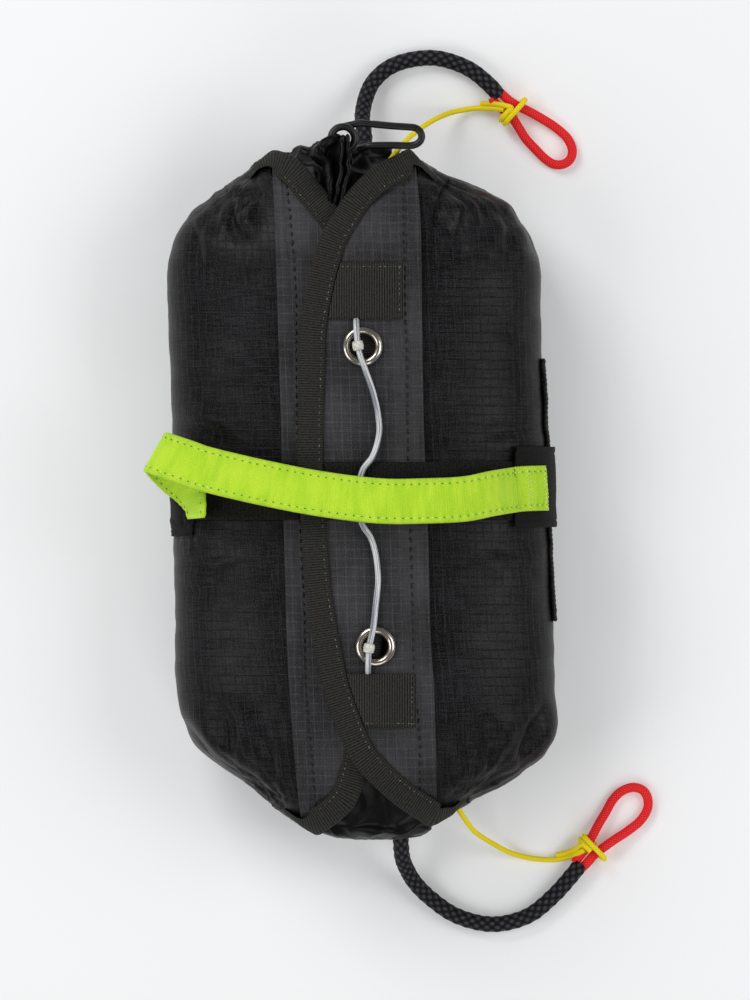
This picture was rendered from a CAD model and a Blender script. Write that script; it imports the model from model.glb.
"""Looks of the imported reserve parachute: cloth, tape, webbing, cords and metal.

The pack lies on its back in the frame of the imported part: X across it, Y along it, Z up. Sizes
in the tables are millimetres; every finished mesh is in metres.
"""

import logging
import math
from collections.abc import Callable, Iterable, Sequence
from dataclasses import dataclass, field
from enum import Enum

import bmesh
import bpy
import numpy as np
from mathutils import Matrix, Vector, noise


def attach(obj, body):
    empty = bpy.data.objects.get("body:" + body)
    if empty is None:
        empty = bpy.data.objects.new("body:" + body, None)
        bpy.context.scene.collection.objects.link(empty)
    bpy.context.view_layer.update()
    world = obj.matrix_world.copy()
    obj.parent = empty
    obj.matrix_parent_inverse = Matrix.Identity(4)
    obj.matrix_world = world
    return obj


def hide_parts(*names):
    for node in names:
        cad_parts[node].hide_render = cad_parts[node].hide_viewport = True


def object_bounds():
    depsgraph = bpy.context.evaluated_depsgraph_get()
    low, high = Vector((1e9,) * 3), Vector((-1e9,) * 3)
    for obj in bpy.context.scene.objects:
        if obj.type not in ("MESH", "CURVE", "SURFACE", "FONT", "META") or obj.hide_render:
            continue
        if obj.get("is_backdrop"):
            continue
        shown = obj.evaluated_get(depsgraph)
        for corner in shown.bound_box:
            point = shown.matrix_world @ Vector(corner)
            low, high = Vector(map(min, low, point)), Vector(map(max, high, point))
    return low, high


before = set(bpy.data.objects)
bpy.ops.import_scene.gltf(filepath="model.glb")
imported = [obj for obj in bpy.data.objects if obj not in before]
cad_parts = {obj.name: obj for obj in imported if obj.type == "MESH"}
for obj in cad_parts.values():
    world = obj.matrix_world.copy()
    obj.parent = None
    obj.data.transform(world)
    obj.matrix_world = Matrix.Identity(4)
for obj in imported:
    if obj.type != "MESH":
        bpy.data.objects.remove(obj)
CAD_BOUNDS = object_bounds()

LOG = logging.getLogger("scene")
MM = 0.001

# A row of points, and a function that lays flat grid places on a form.
Points = np.ndarray
Lay = Callable[[Points, Points], Points]

# Heights of the layers above the filled pack.
CORE = -2.2
PANEL = (1.2, 2.8)
LEFT_FACING = (3.8, 5.2)
RIGHT_FACING = (9.4, 10.8)
BINDING_WIDTH = 13.5
BINDING_LEG = 1.0
LAYER_GAP = 0.8
FACING_LAP = 8.0
BACK_SEAM_X = -12.0
BACK_SEAM_GAP = 0.8

# Shape of a slice across the pack: squareness of the crown and the base, height of the waist.
CROWN_POWER = 2.35
BASE_POWER = 3.0
WAIST = 0.43

# Place along the pack, left side and right side of the outline.
OUTLINE = (
    (-192.0, -16.0, 32.0),
    (-188.0, -26.0, 36.5),
    (-183.0, -34.5, 40.6),
    (-176.0, -45.0, 52.0),
    (-170.0, -53.5, 62.0),
    (-160.0, -65.0, 81.0),
    (-150.0, -80.0, 94.0),
    (-140.0, -92.0, 102.5),
    (-126.0, -99.0, 108.0),
    (-105.0, -103.5, 107.3),
    (-68.0, -103.7, 106.1),
    (-19.0, -105.0, 103.9),
    (32.0, -105.2, 102.0),
    (75.0, -107.0, 100.0),
    (108.0, -108.2, 99.4),
    (126.0, -108.0, 99.2),
    (141.0, -105.0, 95.2),
    (152.0, -99.0, 88.3),
    (162.0, -89.5, 80.5),
    (170.0, -78.0, 66.5),
    (177.0, -67.5, 48.0),
    (184.0, -59.5, 35.0),
    (190.0, -49.5, 27.2),
    (194.0, -40.0, 20.0),
)

# Place along the pack, lowest height and crown height of the filled pack.
PROFILE = (
    (-192.0, 22.0, 54.0),
    (-184.0, 17.0, 61.0),
    (-170.0, 9.0, 71.5),
    (-155.0, 4.0, 79.5),
    (-135.0, 1.5, 86.0),
    (-105.0, 0.5, 90.5),
    (-60.0, 0.0, 93.0),
    (-20.0, 0.0, 92.0),
    (20.0, 0.0, 92.0),
    (60.0, 0.0, 93.0),
    (105.0, 0.5, 90.5),
    (138.0, 1.5, 86.0),
    (157.0, 4.0, 79.5),
    (172.0, 9.0, 71.5),
    (186.0, 17.0, 61.0),
    (194.0, 22.0, 54.0),
)

# Free edges of the two front flaps, and the seams where the facings meet the panels.
LEFT_EDGE = (
    (-188.0, -25.6),
    (-182.8, -17.2),
    (-172.8, -6.1),
    (-155.6, 1.1),
    (-130.0, 5.5),
    (-80.0, 10.5),
    (0.0, 13.0),
    (80.0, 10.5),
    (120.0, 5.0),
    (145.0, -4.0),
    (158.3, -13.3),
    (174.4, -26.7),
    (186.7, -39.4),
    (190.6, -49.0),
)
RIGHT_EDGE = (
    (-186.0, 40.0),
    (-181.7, 35.6),
    (-172.8, 22.2),
    (-163.3, 10.6),
    (-147.2, -4.4),
    (-125.0, -14.4),
    (-102.8, -21.7),
    (-80.6, -26.1),
    (-47.2, -31.3),
    (-13.9, -33.3),
    (19.4, -35.0),
    (72.2, -34.2),
    (91.7, -33.4),
    (106.1, -31.2),
    (126.7, -26.7),
    (145.6, -20.6),
    (157.8, -13.3),
    (165.0, -8.9),
    (178.9, 5.0),
    (187.2, 18.9),
    (191.5, 28.0),
)
LEFT_SEAM = ((-186.0, -33.5), (-154.0, -36.7), (-100.6, -40.6), (-20.0, -43.3), (44.0, -45.0),
             (120.0, -47.2), (152.0, -48.3), (180.0, -50.0), (192.0, -50.6))
RIGHT_SEAM = ((-186.0, 41.6), (-150.0, 41.1), (-110.6, 40.0), (-75.0, 37.8), (-20.0, 36.5),
              (28.0, 34.4), (92.0, 33.3), (157.0, 32.2), (182.0, 30.0), (192.0, 29.6))

# Front hardware: places on the flap.
EYELETS = (("top_eyelet", 0.3, 81.8), ("bottom_eyelet", 7.4, -83.5))
EYELET_RADIUS = 11.0
EYELET_BORE = 6.3
FACING_HOLE = 7.2
PATCHES = (
    ("top_patch", 96.8, 128.2, 23.4),
    ("bottom_patch", -128.3, -98.5, 30.3),
)
PATCH_THICKNESS = 1.2
BAND_WIDTH = 32.0
BAND_CENTRE_Y = 2.2
BAND_THICKNESS = 2.0
PAD = (6.2, 7.6)

# Clear cord on the flap: its route, with the height above the flap. A bead is at each eyelet.
CLEAR_DIAMETER = 3.3
CLEAR_ROUTE = (
    (-3.5, 103.0, -1.8),
    (-3.4, 99.5, -1.4),
    (-3.2, 97.0, -0.5),
    (-3.1, 94.6, 2.4),
    (-3.0, 91.0, 4.2),
    (-2.2, 82.2, 4.2),
    (-0.4, 75.0, 4.2),
    (2.2, 68.0, 3.0),
    (6.1, 56.7, 2.2),
    (8.9, 43.9, 2.2),
    (9.4, 33.3, 2.4),
    (6.1, 21.7, 4.6),
    (0.0, 12.8, 5.0),
    (-2.8, -1.7, 5.0),
    (0.0, -15.6, 4.8),
    (5.0, -23.9, 2.8),
    (7.8, -33.9, 2.2),
    (8.9, -46.7, 2.2),
    (7.8, -59.4, 2.2),
    (6.6, -70.5, 3.6),
    (5.6, -76.5, 4.2),
    (3.9, -84.4, 4.2),
    (3.4, -92.0, 4.2),
    (3.3, -96.0, 2.4),
    (3.3, -98.4, -0.5),
    (3.2, -101.0, -1.4),
    (3.2, -104.4, -1.8),
)
BEADS = (("top_bead", -2.2, 82.2), ("bottom_bead", 3.9, -84.4))
BEAD_RADIUS = 3.1
BEAD_LENGTH = 5.4

# Green handle: centre line, and the direction across the strap. Its ends lie on other pieces.
HANDLE_WIDTH = 25.0
HANDLE_THICKNESS = 3.0
ON_PAD = -2.0
HANDLE_ROUTE = (
    (-91.4, -13.0, 82.5, 0.33, 0.03, 0.94),
    (-92.0, -7.5, 83.0, 0.44, 0.05, 0.90),
    (-95.0, 1.5, 84.0, 0.60, 0.38, 0.70),
    (-101.5, 9.5, 83.0, 0.62, 0.62, 0.45),
    (-108.0, 17.2, 82.0, 0.60, 0.76, 0.20),
    (-112.3, 22.0, 84.6, 0.53, 0.85, 0.0),
    (-113.5, 23.4, 88.8, 0.49, 0.87, 0.0),
    (-111.5, 22.9, 93.0, 0.45, 0.89, 0.0),
    (-106.0, 21.0, 96.6, 0.38, 0.92, 0.0),
    (-96.0, 17.6, 100.2, 0.32, 0.95, 0.0),
    (-85.0, 13.9, 102.8, 0.29, 0.96, 0.0),
    (-54.4, 6.7, 110.0, 0.21, 0.98, 0.0),
    (-22.8, 0.6, 114.0, 0.15, 0.99, 0.0),
    (9.4, -3.3, 115.0, 0.06, 1.0, 0.0),
    (35.6, -3.3, 113.0, -0.03, 1.0, 0.0),
    (56.7, -2.2, 108.0, -0.10, 0.99, 0.0),
    (72.0, 0.8, 99.5, -0.13, 0.99, 0.0),
    (85.0, 2.9, ON_PAD, -0.10, 0.99, 0.0),
    (92.0, 3.5, ON_PAD, -0.08, 0.99, 0.0),
    (98.5, 3.7, ON_PAD, -0.07, 1.0, 0.0),
    (103.0, 3.8, ON_PAD, -0.07, 1.0, 0.0),
)

# Wire hook at the top mouth: a long loop, then a coiled eye.
WIRE_DIAMETER = 4.0
HOOK_HEIGHT = 66.5
EYE_CENTRE = (-10.6, 196.9)
EYE_RADIUS = 6.5
EYE_TURNS = 1.5
EYE_START_DEGREES = 72.0
EYE_RISE = 4.6
HOOK_ROUTE = (
    (-2.6, 190.8, -2.6),
    (1.0, 191.9, -1.2),
    (5.0, 193.0, 0.0),
    (16.7, 193.2, 0.0),
    (25.6, 193.0, 0.0),
    (29.6, 193.6, 0.0),
    (32.2, 195.6, 0.0),
    (33.0, 198.2, 0.0),
    (32.0, 201.0, 0.0),
    (29.4, 202.8, 0.0),
    (25.6, 203.3, 0.0),
    (16.7, 203.9, 0.0),
    (5.0, 205.0, 0.0),
    (-1.1, 205.5, 0.0),
    (-5.5, 204.6, 0.0),
)
LOOP_ROUTE = (
    (-14.0, 166.0, 77.0),
    (-12.6, 176.0, 71.0),
    (-11.2, 185.0, 63.4),
    (-10.8, 191.0, 60.2),
    (-10.6, 195.4, 60.8),
    (-10.6, 197.0, 65.0),
    (-10.6, 197.0, 73.0),
    (-10.6, 195.2, 78.2),
    (-10.9, 190.0, 80.0),
    (-12.0, 180.0, 81.4),
    (-13.4, 170.0, 83.2),
    (-13.8, 163.0, 80.5),
    (-14.0, 156.0, 76.0),
    (-14.0, 151.0, 73.0),
)
# Half widths of the loop's cloth at distances from the eye.
LOOP_WIDTHS = ((0.0, 2.8, 2.8), (5.0, 4.6, 3.0), (10.0, 11.0, 4.0), (14.5, 18.0, 5.0),
               (18.0, 17.0, 5.6), (22.5, 9.0, 6.0), (30.0, 6.5, 6.2), (36.0, 5.2, 5.0), (60.0, 4.0, 4.0))

# Braided ropes, red eye loops and yellow cords: routes of their centre lines.
ROPE_DIAMETER = 9.0
EYE_CORD_DIAMETER = 5.2
YELLOW_DIAMETER = 3.0
TOP_ROPE = (
    (2.0, 186.0, 34.0),
    (1.6, 194.0, 30.0),
    (1.1, 201.5, 25.0),
    (0.2, 207.0, 20.0),
    (0.6, 214.0, 13.0),
    (2.6, 222.0, 8.0),
    (6.2, 229.4, 5.4),
    (13.9, 236.7, 4.6),
    (24.4, 241.1, 4.6),
    (38.3, 242.8, 4.6),
    (50.0, 240.6, 4.7),
    (61.1, 235.6, 5.2),
    (70.6, 227.8, 6.0),
    (75.2, 222.6, 6.5),
    (76.4, 221.2, 6.6),
)
TOP_EYE = (
    (75.2, 224.8, 6.4),
    (78.6, 221.8, 6.6),
    (81.9, 218.9, 6.8),
    (86.3, 216.0, 6.8),
    (92.2, 213.2, 5.8),
    (100.6, 208.6, 3.4),
    (107.8, 203.9, 2.7),
    (113.9, 198.3, 2.7),
    (116.7, 192.2, 2.7),
    (115.9, 187.0, 2.7),
    (112.2, 183.9, 2.7),
    (107.0, 183.6, 2.7),
    (101.7, 186.7, 2.8),
    (96.1, 192.2, 3.0),
    (90.8, 198.0, 3.8),
    (86.6, 204.6, 5.8),
    (82.6, 210.6, 6.8),
    (77.8, 214.4, 6.8),
    (74.0, 217.4, 6.6),
    (72.4, 220.6, 6.4),
)
BOTTOM_ROPE = (
    (21.0, -184.0, 33.0),
    (21.4, -190.0, 30.0),
    (21.8, -196.5, 25.0),
    (22.6, -202.0, 19.5),
    (24.8, -207.6, 13.5),
    (29.2, -215.0, 8.2),
    (37.2, -223.3, 5.2),
    (50.6, -232.8, 4.6),
    (66.1, -237.8, 4.6),
    (79.4, -237.8, 4.6),
    (93.9, -232.8, 4.7),
    (106.7, -222.2, 5.2),
    (116.1, -211.7, 6.2),
    (120.6, -206.0, 6.6),
    (121.7, -204.6, 6.7),
)
BOTTOM_EYE = (
    (120.4, -208.8, 6.5),
    (125.0, -204.3, 6.6),
    (129.4, -199.4, 6.8),
    (134.6, -195.4, 6.8),
    (140.6, -191.2, 5.6),
    (147.2, -186.9, 3.6),
    (154.2, -181.3, 2.8),
    (158.3, -175.0, 2.7),
    (158.7, -168.9, 2.7),
    (156.1, -164.2, 2.7),
    (150.6, -162.4, 2.7),
    (144.2, -164.6, 2.7),
    (139.4, -169.2, 2.8),
    (135.2, -176.5, 3.2),
    (131.4, -182.8, 4.4),
    (127.8, -189.6, 6.2),
    (124.6, -195.6, 6.8),
    (121.0, -200.2, 6.6),
    (118.2, -204.4, 6.5),
)
TOP_YELLOW = (
    (15.5, 185.0, 54.0),
    (18.6, 189.2, 50.5),
    (22.2, 193.8, 44.5),
    (26.8, 198.6, 36.5),
    (33.0, 203.6, 26.5),
    (39.8, 208.0, 16.5),
    (47.5, 211.6, 8.5),
    (55.0, 213.6, 3.6),
    (63.0, 214.8, 2.6),
    (69.6, 214.6, 3.6),
    (74.0, 214.5, 8.2),
    (78.6, 214.0, 11.0),
)
BOTTOM_YELLOW = (
    (48.5, -164.0, 46.0),
    (51.6, -171.0, 42.0),
    (56.2, -178.2, 37.0),
    (62.4, -186.6, 24.0),
    (73.6, -194.1, 10.0),
    (83.1, -198.9, 3.6),
    (94.3, -201.8, 1.9),
    (105.4, -202.6, 1.9),
    (113.6, -201.4, 2.6),
    (119.0, -199.4, 7.6),
    (123.6, -197.0, 11.0),
)
# Yellow wraps: centre of the neck, direction along it, tail end.
KNOTS = (
    ("top_knot", (84.4, 213.3, 6.8), (0.71, -0.71, 0.0), 1.0),
    ("bottom_knot", (128.4, -196.2, 6.8), (0.68, 0.73, 0.0), -1.0),
)
# Second yellow strands that lie beside the thin cords and go into the wraps.
LEADS = {
    "top": ((66.0, 217.4, 2.2), (70.5, 217.2, 4.4), (74.5, 217.0, 9.6), (79.0, 216.2, 12.2)),
    "bottom": ((108.0, -199.9, 1.9), (113.4, -198.7, 3.0), (118.0, -196.8, 8.0), (122.4, -194.2, 12.0)),
}
KNOT_PITCH = 3.0
KNOT_HALF_WIDTH = 8.6
KNOT_HALF_HEIGHT = 5.1


# Creases of the cloth seen from above: half width, depth of the valley, height of the puffed
# side, and the points of the crease. The puffed side lies to the left of the way along it.
CREASES = (
    (2.4, 5.0, 1.0, ((46.5, 173.5), (52.0, 168.5), (57.5, 158.5))),
    (3.4, 4.2, 2.0, ((-76.0, 170.0), (-72.5, 158.0), (-70.5, 149.0), (-65.5, 138.5))),
    (5.5, 2.6, 0.0, ((-67.0, 168.0), (-64.0, 152.0))),
    (3.0, 2.2, 1.0, ((-84.0, 168.0), (-80.5, 156.0), (-79.0, 142.0))),
    (3.6, 1.7, 0.8, ((-96.0, 156.0), (-90.0, 142.0), (-86.0, 124.0))),
    (3.0, 1.5, 0.8, ((-57.0, 175.0), (-56.0, 163.0), (-54.0, 150.0))),
    (3.2, 4.0, 2.0, ((46.7, 171.0), (42.5, 156.0), (36.6, 141.0))),
    (3.0, 3.2, 1.2, ((47.5, 170.0), (45.5, 150.0), (48.5, 132.5))),
    (2.8, 3.0, 1.2, ((58.5, 155.0), (55.8, 164.6), (48.5, 169.0))),
    (3.6, 4.4, 0.8, ((46.0, 174.0), (58.5, 169.5), (64.0, 166.0))),
    (3.4, 2.2, 1.0, ((64.0, 166.0), (68.0, 156.0), (66.0, 142.0))),
    (3.4, 1.9, 0.9, ((79.0, 160.0), (88.0, 149.0), (96.0, 131.0))),
    (3.2, 1.6, 0.9, ((72.0, 162.0), (79.0, 148.0), (80.0, 128.0))),
    (4.2, 3.4, 1.4, ((66.5, -122.0), (68.0, -140.0), (75.8, -149.0))),
    (2.8, 3.4, 1.2, ((78.8, -142.0), (77.0, -154.0), (69.0, -161.0), (60.5, -165.5))),
    (3.0, 4.2, 2.0, ((99.0, -116.0), (91.0, -137.0), (86.0, -150.0))),
    (3.6, 4.4, 1.0, ((88.0, -151.0), (72.0, -160.0), (57.0, -171.0))),
    (3.0, 1.8, 0.9, ((56.0, -130.0), (58.0, -148.0), (59.5, -162.0))),
    (3.0, 1.6, 0.8, ((46.5, -140.0), (50.0, -156.0), (58.0, -163.0))),
    (3.4, 3.6, 1.2, ((-43.8, -124.0), (-41.5, -145.0), (-38.0, -164.0))),
    (3.2, 2.2, 1.3, ((-78.5, -112.0), (-71.5, -124.0), (-68.5, -154.0))),
    (3.2, 2.6, 1.4, ((-98.0, -124.0), (-84.5, -143.0), (-66.0, -158.5))),
    (3.0, 2.2, 1.3, ((-52.5, -131.0), (-48.5, -148.0), (-46.0, -162.0))),
    (2.6, 2.2, 1.2, ((-60.5, -154.0), (-56.0, -160.0), (-50.0, -165.0), (-42.0, -172.0))),
    (3.6, 1.9, 1.1, ((-102.0, 38.0), (-86.0, 36.0), (-68.0, 29.0))),
    (3.0, 1.3, 0.7, ((-101.0, 27.0), (-82.0, 24.0))),
    (3.2, 1.3, 0.8, ((-100.0, -25.0), (-84.0, -29.0), (-70.0, -27.0))),
    (3.6, 1.8, 1.1, ((-101.0, -37.0), (-84.0, -40.0), (-66.0, -34.0))),
    (3.4, 1.2, 0.7, ((-98.0, -56.0), (-78.0, -50.0))),
    (3.8, 1.4, 0.8, ((96.0, 38.0), (78.0, 36.0), (60.0, 33.0))),
    (3.8, 1.5, 0.8, ((97.0, -27.0), (80.0, -31.0), (62.0, -27.0))),
    (3.6, 1.1, 0.6, ((98.0, -44.0), (74.0, -38.0))),
)
# Where the draw cord pulls the cloth together: place, reach, depth and count of the folds.
CINCHES = (
    (-68.0, 173.0, 24.0, 3.4, 13.0),
    (52.0, 172.0, 26.0, 3.6, 15.0),
    (-56.0, -166.0, 24.0, 3.2, 14.0),
    (60.0, -165.0, 22.0, 3.6, 17.0),
    (-94.0, -20.0, 14.0, 2.6, 11.0),
)
RIPPLES = (0.55, 17.0)


def table(rows: Iterable[Sequence[float]]) -> Points:
    """Rows as an array, ordered by their first column."""
    return np.array(sorted(rows), dtype=float)


def smooth_step(value: Points) -> Points:
    """Ease from 0 to 1."""
    t = np.clip(value, 0.0, 1.0)
    return t * t * (3.0 - 2.0 * t)


def signed_power(value: Points, power: float) -> Points:
    """Power of the size of a value, with its sign kept."""
    return np.sign(value) * np.abs(value) ** power


def stack(x: Points, y: Points, z: Points) -> Points:
    """Three coordinates as rows of points."""
    return np.stack(np.broadcast_arrays(x, y, z), axis=-1)


def travelled(line: Points) -> Points:
    """Distance along a line at each of its points."""
    gaps = np.linalg.norm(np.diff(line, axis=0), axis=1)
    return np.concatenate(((0.0,), np.cumsum(gaps)))


def rows_along(start: float, stop: float, part: Points) -> Points:
    """Places along the pack, closer together near its ends.

    Args:
        start: Place of the first row.
        stop: Place of the last row.
        part: Share of the way, from 0 to 1.

    Returns:
        One place for each share.
    """
    turn = 2.0 * part - 1.0
    middle = 0.5 * (start + stop)
    half = 0.5 * (stop - start)
    return middle + half * (0.62 * turn + 0.38 * np.sin(0.5 * np.pi * turn))


def cloth_noise(points: Points, scale: Sequence[float], seed: float) -> Points:
    """Smooth noise at points, stretched by a scale on each axis.

    Args:
        points: Rows of three coordinates in millimetres.
        scale: Size of a lump along each axis, in millimetres.
        seed: Offset that tells one noise from another.

    Returns:
        Values from about -1 to 1.
    """
    places = points / np.array(scale) + seed
    return np.array([noise.noise(place) for place in places.tolist()])


@dataclass(frozen=True)
class Track:
    """A column of a table as a smooth curve along the pack."""

    rows: Points
    column: int

    def at(self, place: Points) -> Points:
        """Value of the curve at each place.

        Args:
            place: Places along the pack.

        Returns:
            The curve's value at each place.
        """
        places = self.rows[:, 0]
        values = self.rows[:, self.column]
        last = len(places) - 1
        k = np.clip(np.searchsorted(places, place) - 1, 0, last - 1)
        slopes = np.diff(values) / np.diff(places)
        ends = np.concatenate((slopes[:1], 0.5 * (slopes[:-1] + slopes[1:]), slopes[-1:]))
        span = places[k + 1] - places[k]
        t = np.clip((place - places[k]) / span, 0.0, 1.0)
        blend = 3.0 * t ** 2 - 2.0 * t ** 3
        curve = values[k] * (1.0 - blend) + values[k + 1] * blend
        curve = curve + span * ends[k] * (t ** 3 - 2.0 * t ** 2 + t)
        return curve + span * ends[k + 1] * (t ** 3 - t ** 2)

    def slant(self, place: Points) -> Points:
        """Slope of the curve at each place."""
        return self.at(place + 0.5) - self.at(place - 0.5)


LEFT_SIDE = Track(table(OUTLINE), 1)
RIGHT_SIDE = Track(table(OUTLINE), 2)
LOWEST = Track(table(PROFILE), 1)
CROWN = Track(table(PROFILE), 2)
LEFT_FLAP_EDGE = Track(table(LEFT_EDGE), 1)
RIGHT_FLAP_EDGE = Track(table(RIGHT_EDGE), 1)
LEFT_FACING_SEAM = Track(table(LEFT_SEAM), 1)
RIGHT_FACING_SEAM = Track(table(RIGHT_SEAM), 1)


@dataclass
class PackForm:
    """The filled pack's surface: every cloth layer lies on it at its own lift."""

    gather_depth: float = 1.6
    gather_count: float = 23.0
    billow: float = 0.9

    def section(self, y: Points) -> tuple[Points, Points, Points, Points, Points]:
        """Centre, half width, waist height, crown and depth of the pack at each place.

        Args:
            y: Places along the pack.

        Returns:
            Centre, half width, waist height, crown over it and depth under it.
        """
        left = LEFT_SIDE.at(y)
        right = RIGHT_SIDE.at(y)
        base = LOWEST.at(y)
        top = CROWN.at(y)
        waist = base + WAIST * (top - base)
        return 0.5 * (left + right), 0.5 * (right - left) - PANEL[1], waist, top - waist, waist - base

    def smooth_shell(self, y: Points, angle: Points, lift: Points) -> Points:
        """Points of the surface without folds, lifted by the layers under them.

        Args:
            y: Places along the pack.
            angle: Angles round the pack, 0 at its right side.
            lift: Height over the pack.

        Returns:
            Points in millimetres.
        """
        centre, half, waist, crown, depth = self.section(y)
        c = np.cos(angle)
        s = np.sin(angle)
        power = np.where(s >= 0.0, 2.0 / CROWN_POWER, 2.0 / BASE_POWER)
        x = centre + (half + lift) * signed_power(c, power)
        z = waist + (np.where(s >= 0.0, crown, depth) + lift) * signed_power(s, power)
        return stack(x, y, z)

    def creases(self, x: Points, y: Points) -> Points:
        """How far the cloth is drawn in at each place by its main creases.

        Args:
            x: Places across the pack.
            y: Places along the pack.

        Returns:
            Depth at each place, in millimetres.
        """
        depth = np.zeros_like(x)
        for width, valley, puff, points in CREASES:
            nearest = np.full_like(x, 1e6)
            away = np.full_like(x, 1e6)
            share = np.zeros_like(x)
            parts = len(points) - 1
            for k, ((x0, y0), (x1, y1)) in enumerate(zip(points, points[1:])):
                length = math.hypot(x1 - x0, y1 - y0)
                ux, uy = (x1 - x0) / length, (y1 - y0) / length
                along = np.clip(((x - x0) * ux + (y - y0) * uy) / length, -0.2, 1.2)
                inside = np.clip(along, 0.0, 1.0)
                gap = np.hypot(x - x0 - inside * length * ux, y - y0 - inside * length * uy)
                signed = np.sign((x - x0) * -uy + (y - y0) * ux) * gap
                closer = gap < nearest
                nearest = np.where(closer, gap, nearest)
                away = np.where(closer, signed, away)
                share = np.where(closer, (k + along) / parts, share)
            ends = smooth_step((share + 0.15) / 0.55) * smooth_step((1.15 - share) / 0.55)
            narrow = 1.15 * np.exp(-((nearest / (0.95 * width)) ** 1.3))
            beside = 1.9 * np.exp(-(((away - 2.2 * width) / (1.7 * width)) ** 2))
            depth = depth + ends * (valley * narrow - puff * beside)
        return depth

    def fans(self, x: Points, y: Points) -> Points:
        """Depth of the folds that spread from where the draw cord pulls the cloth together.

        Args:
            x: Places across the pack.
            y: Places along the pack.

        Returns:
            Depth at each place, in millimetres.
        """
        depth = np.zeros_like(x)
        for cx, cy, reach, deep, count in CINCHES:
            r = np.hypot(x - cx, y - cy)
            turn = np.arctan2(y - cy, x - cx)
            phase = 0.5 * count * turn + 0.9 * np.sin(2.0 * turn + cx) + 0.9 * np.sin(0.16 * r + cy)
            uneven = 0.6 + 0.4 * np.sin(2.7 * turn + 0.3 * cx)
            fold = (1.0 - np.abs(np.sin(phase)) ** 0.65) * uneven
            depth = depth + deep * fold * np.exp(-r / reach) * smooth_step(r / 5.0)
        return depth

    def crumples(self, rest: Points, y: Points) -> Points:
        """Depth of the small creases close to the mouths.

        Args:
            rest: Points of the surface without folds, one a row.
            y: Places along the pack.

        Returns:
            Depth at each place, in millimetres.
        """
        near = smooth_step((np.abs(y) - 140.0) / 38.0)
        warp = 3.0 * cloth_noise(rest, (15.0, 15.0, 15.0), 31.0)
        moved = rest + np.stack((warp, -warp, 0.7 * warp), 1)
        broad = np.abs(cloth_noise(moved, (13.0, 22.0, 13.0), 41.0))
        fine = np.abs(cloth_noise(moved, (6.0, 9.0, 6.0), 47.0))
        sharp = 2.6 * np.clip(0.32 - broad, 0.0, 1.0) / 0.32 + 0.9 * np.clip(0.3 - fine, 0.0, 1.0) / 0.3
        return near * sharp.reshape(y.shape)

    def gathers(self, x: Points, y: Points, angle: Points) -> Points:
        """How far the cloth is drawn in where the mouths of the bag are gathered.

        Args:
            x: Places across the pack.
            y: Places along the pack.
            angle: Angles round the pack, 0 at its right side.

        Returns:
            Depth at each place, in millimetres.
        """
        near = smooth_step((np.abs(y) - 122.0) / 48.0)
        left = smooth_step((LEFT_FACING_SEAM.at(y) - 5.0 - x) / 14.0)
        right = smooth_step((x - RIGHT_FACING_SEAM.at(y) - 5.0) / 14.0)
        below = smooth_step((0.35 - np.sin(angle)) / 0.3)
        mask = near * np.maximum(np.maximum(left, right), below)
        side = np.where(y > 0.0, 0.7, 3.9)
        drift = 1.5 * np.sin(3.1 * angle + side) + 0.9 * np.sin(0.05 * y + 5.0 * angle)
        phase = 0.5 * self.gather_count * angle + drift
        cusp = 1.0 - np.abs(np.sin(phase)) ** 0.7
        fine = 1.0 - np.abs(np.sin(2.3 * phase + 1.1)) ** 0.8
        pulled = smooth_step((np.abs(y) - 150.0) / 30.0)
        return mask * (self.gather_depth * cusp + 0.9 * pulled * fine)

    def beside_strips(self, x: Points, y: Points, clear: float, ease: float) -> Points:
        """Share from 0 on the facings to 1 on the panels beside them.

        Args:
            x: Places across the pack.
            y: Places along the pack.
            clear: Distance past a seam where the share starts.
            ease: Distance over which it grows.

        Returns:
            The share at each place.
        """
        left = smooth_step((LEFT_FACING_SEAM.at(y) - clear - x) / ease)
        right = smooth_step((x - RIGHT_FACING_SEAM.at(y) - clear) / ease)
        return np.maximum(left, right)

    def relief(self, y: Points, angle: Points) -> Points:
        """How far the cloth is drawn in at each point of the surface.

        Args:
            y: Places along the pack.
            angle: Angles round the pack, 0 at its right side.

        Returns:
            Depth at each place, in millimetres.
        """
        flat = self.smooth_shell(y, angle, 0.0)
        x = flat[..., 0]
        rest = flat.reshape(-1, 3)
        upper = smooth_step((np.sin(angle) + 0.15) / 0.3)
        off_strips = np.maximum(self.beside_strips(x, y, 1.5, 7.0), 1.0 - upper)
        depth = (self.creases(x, y) + self.fans(x, y)) * upper * off_strips
        depth = depth + self.gathers(x, y, angle)
        depth = depth + 0.8 * self.crumples(rest, y) * off_strips
        billow = cloth_noise(rest, (46.0, 60.0, 46.0), 3.7).reshape(x.shape)
        ripple = cloth_noise(rest, (34.0, RIPPLES[1] * 0.5, 34.0), 9.1).reshape(x.shape)
        fine = cloth_noise(rest, (22.0, 4.6, 22.0), 12.3).reshape(x.shape)
        beside = self.beside_strips(x, y, 2.0, 12.0)
        depth = depth + self.billow * 0.5 * (1.0 + billow)
        return depth + beside * (RIPPLES[0] * ripple + 0.12 * fine)

    def shell(self, y: Points, angle: Points, lift: Points) -> Points:
        """Points of the surface with its folds, lifted by the layers under them.

        Args:
            y: Places along the pack.
            angle: Angles round the pack, 0 at its right side.
            lift: Height over the pack.

        Returns:
            Points in millimetres.
        """
        y, angle, lift = np.broadcast_arrays(y, angle, lift)
        points = self.smooth_shell(y, angle, lift - self.relief(y, angle))
        points[..., 2] = np.maximum(points[..., 2], PANEL[1] - lift)
        return points

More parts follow.
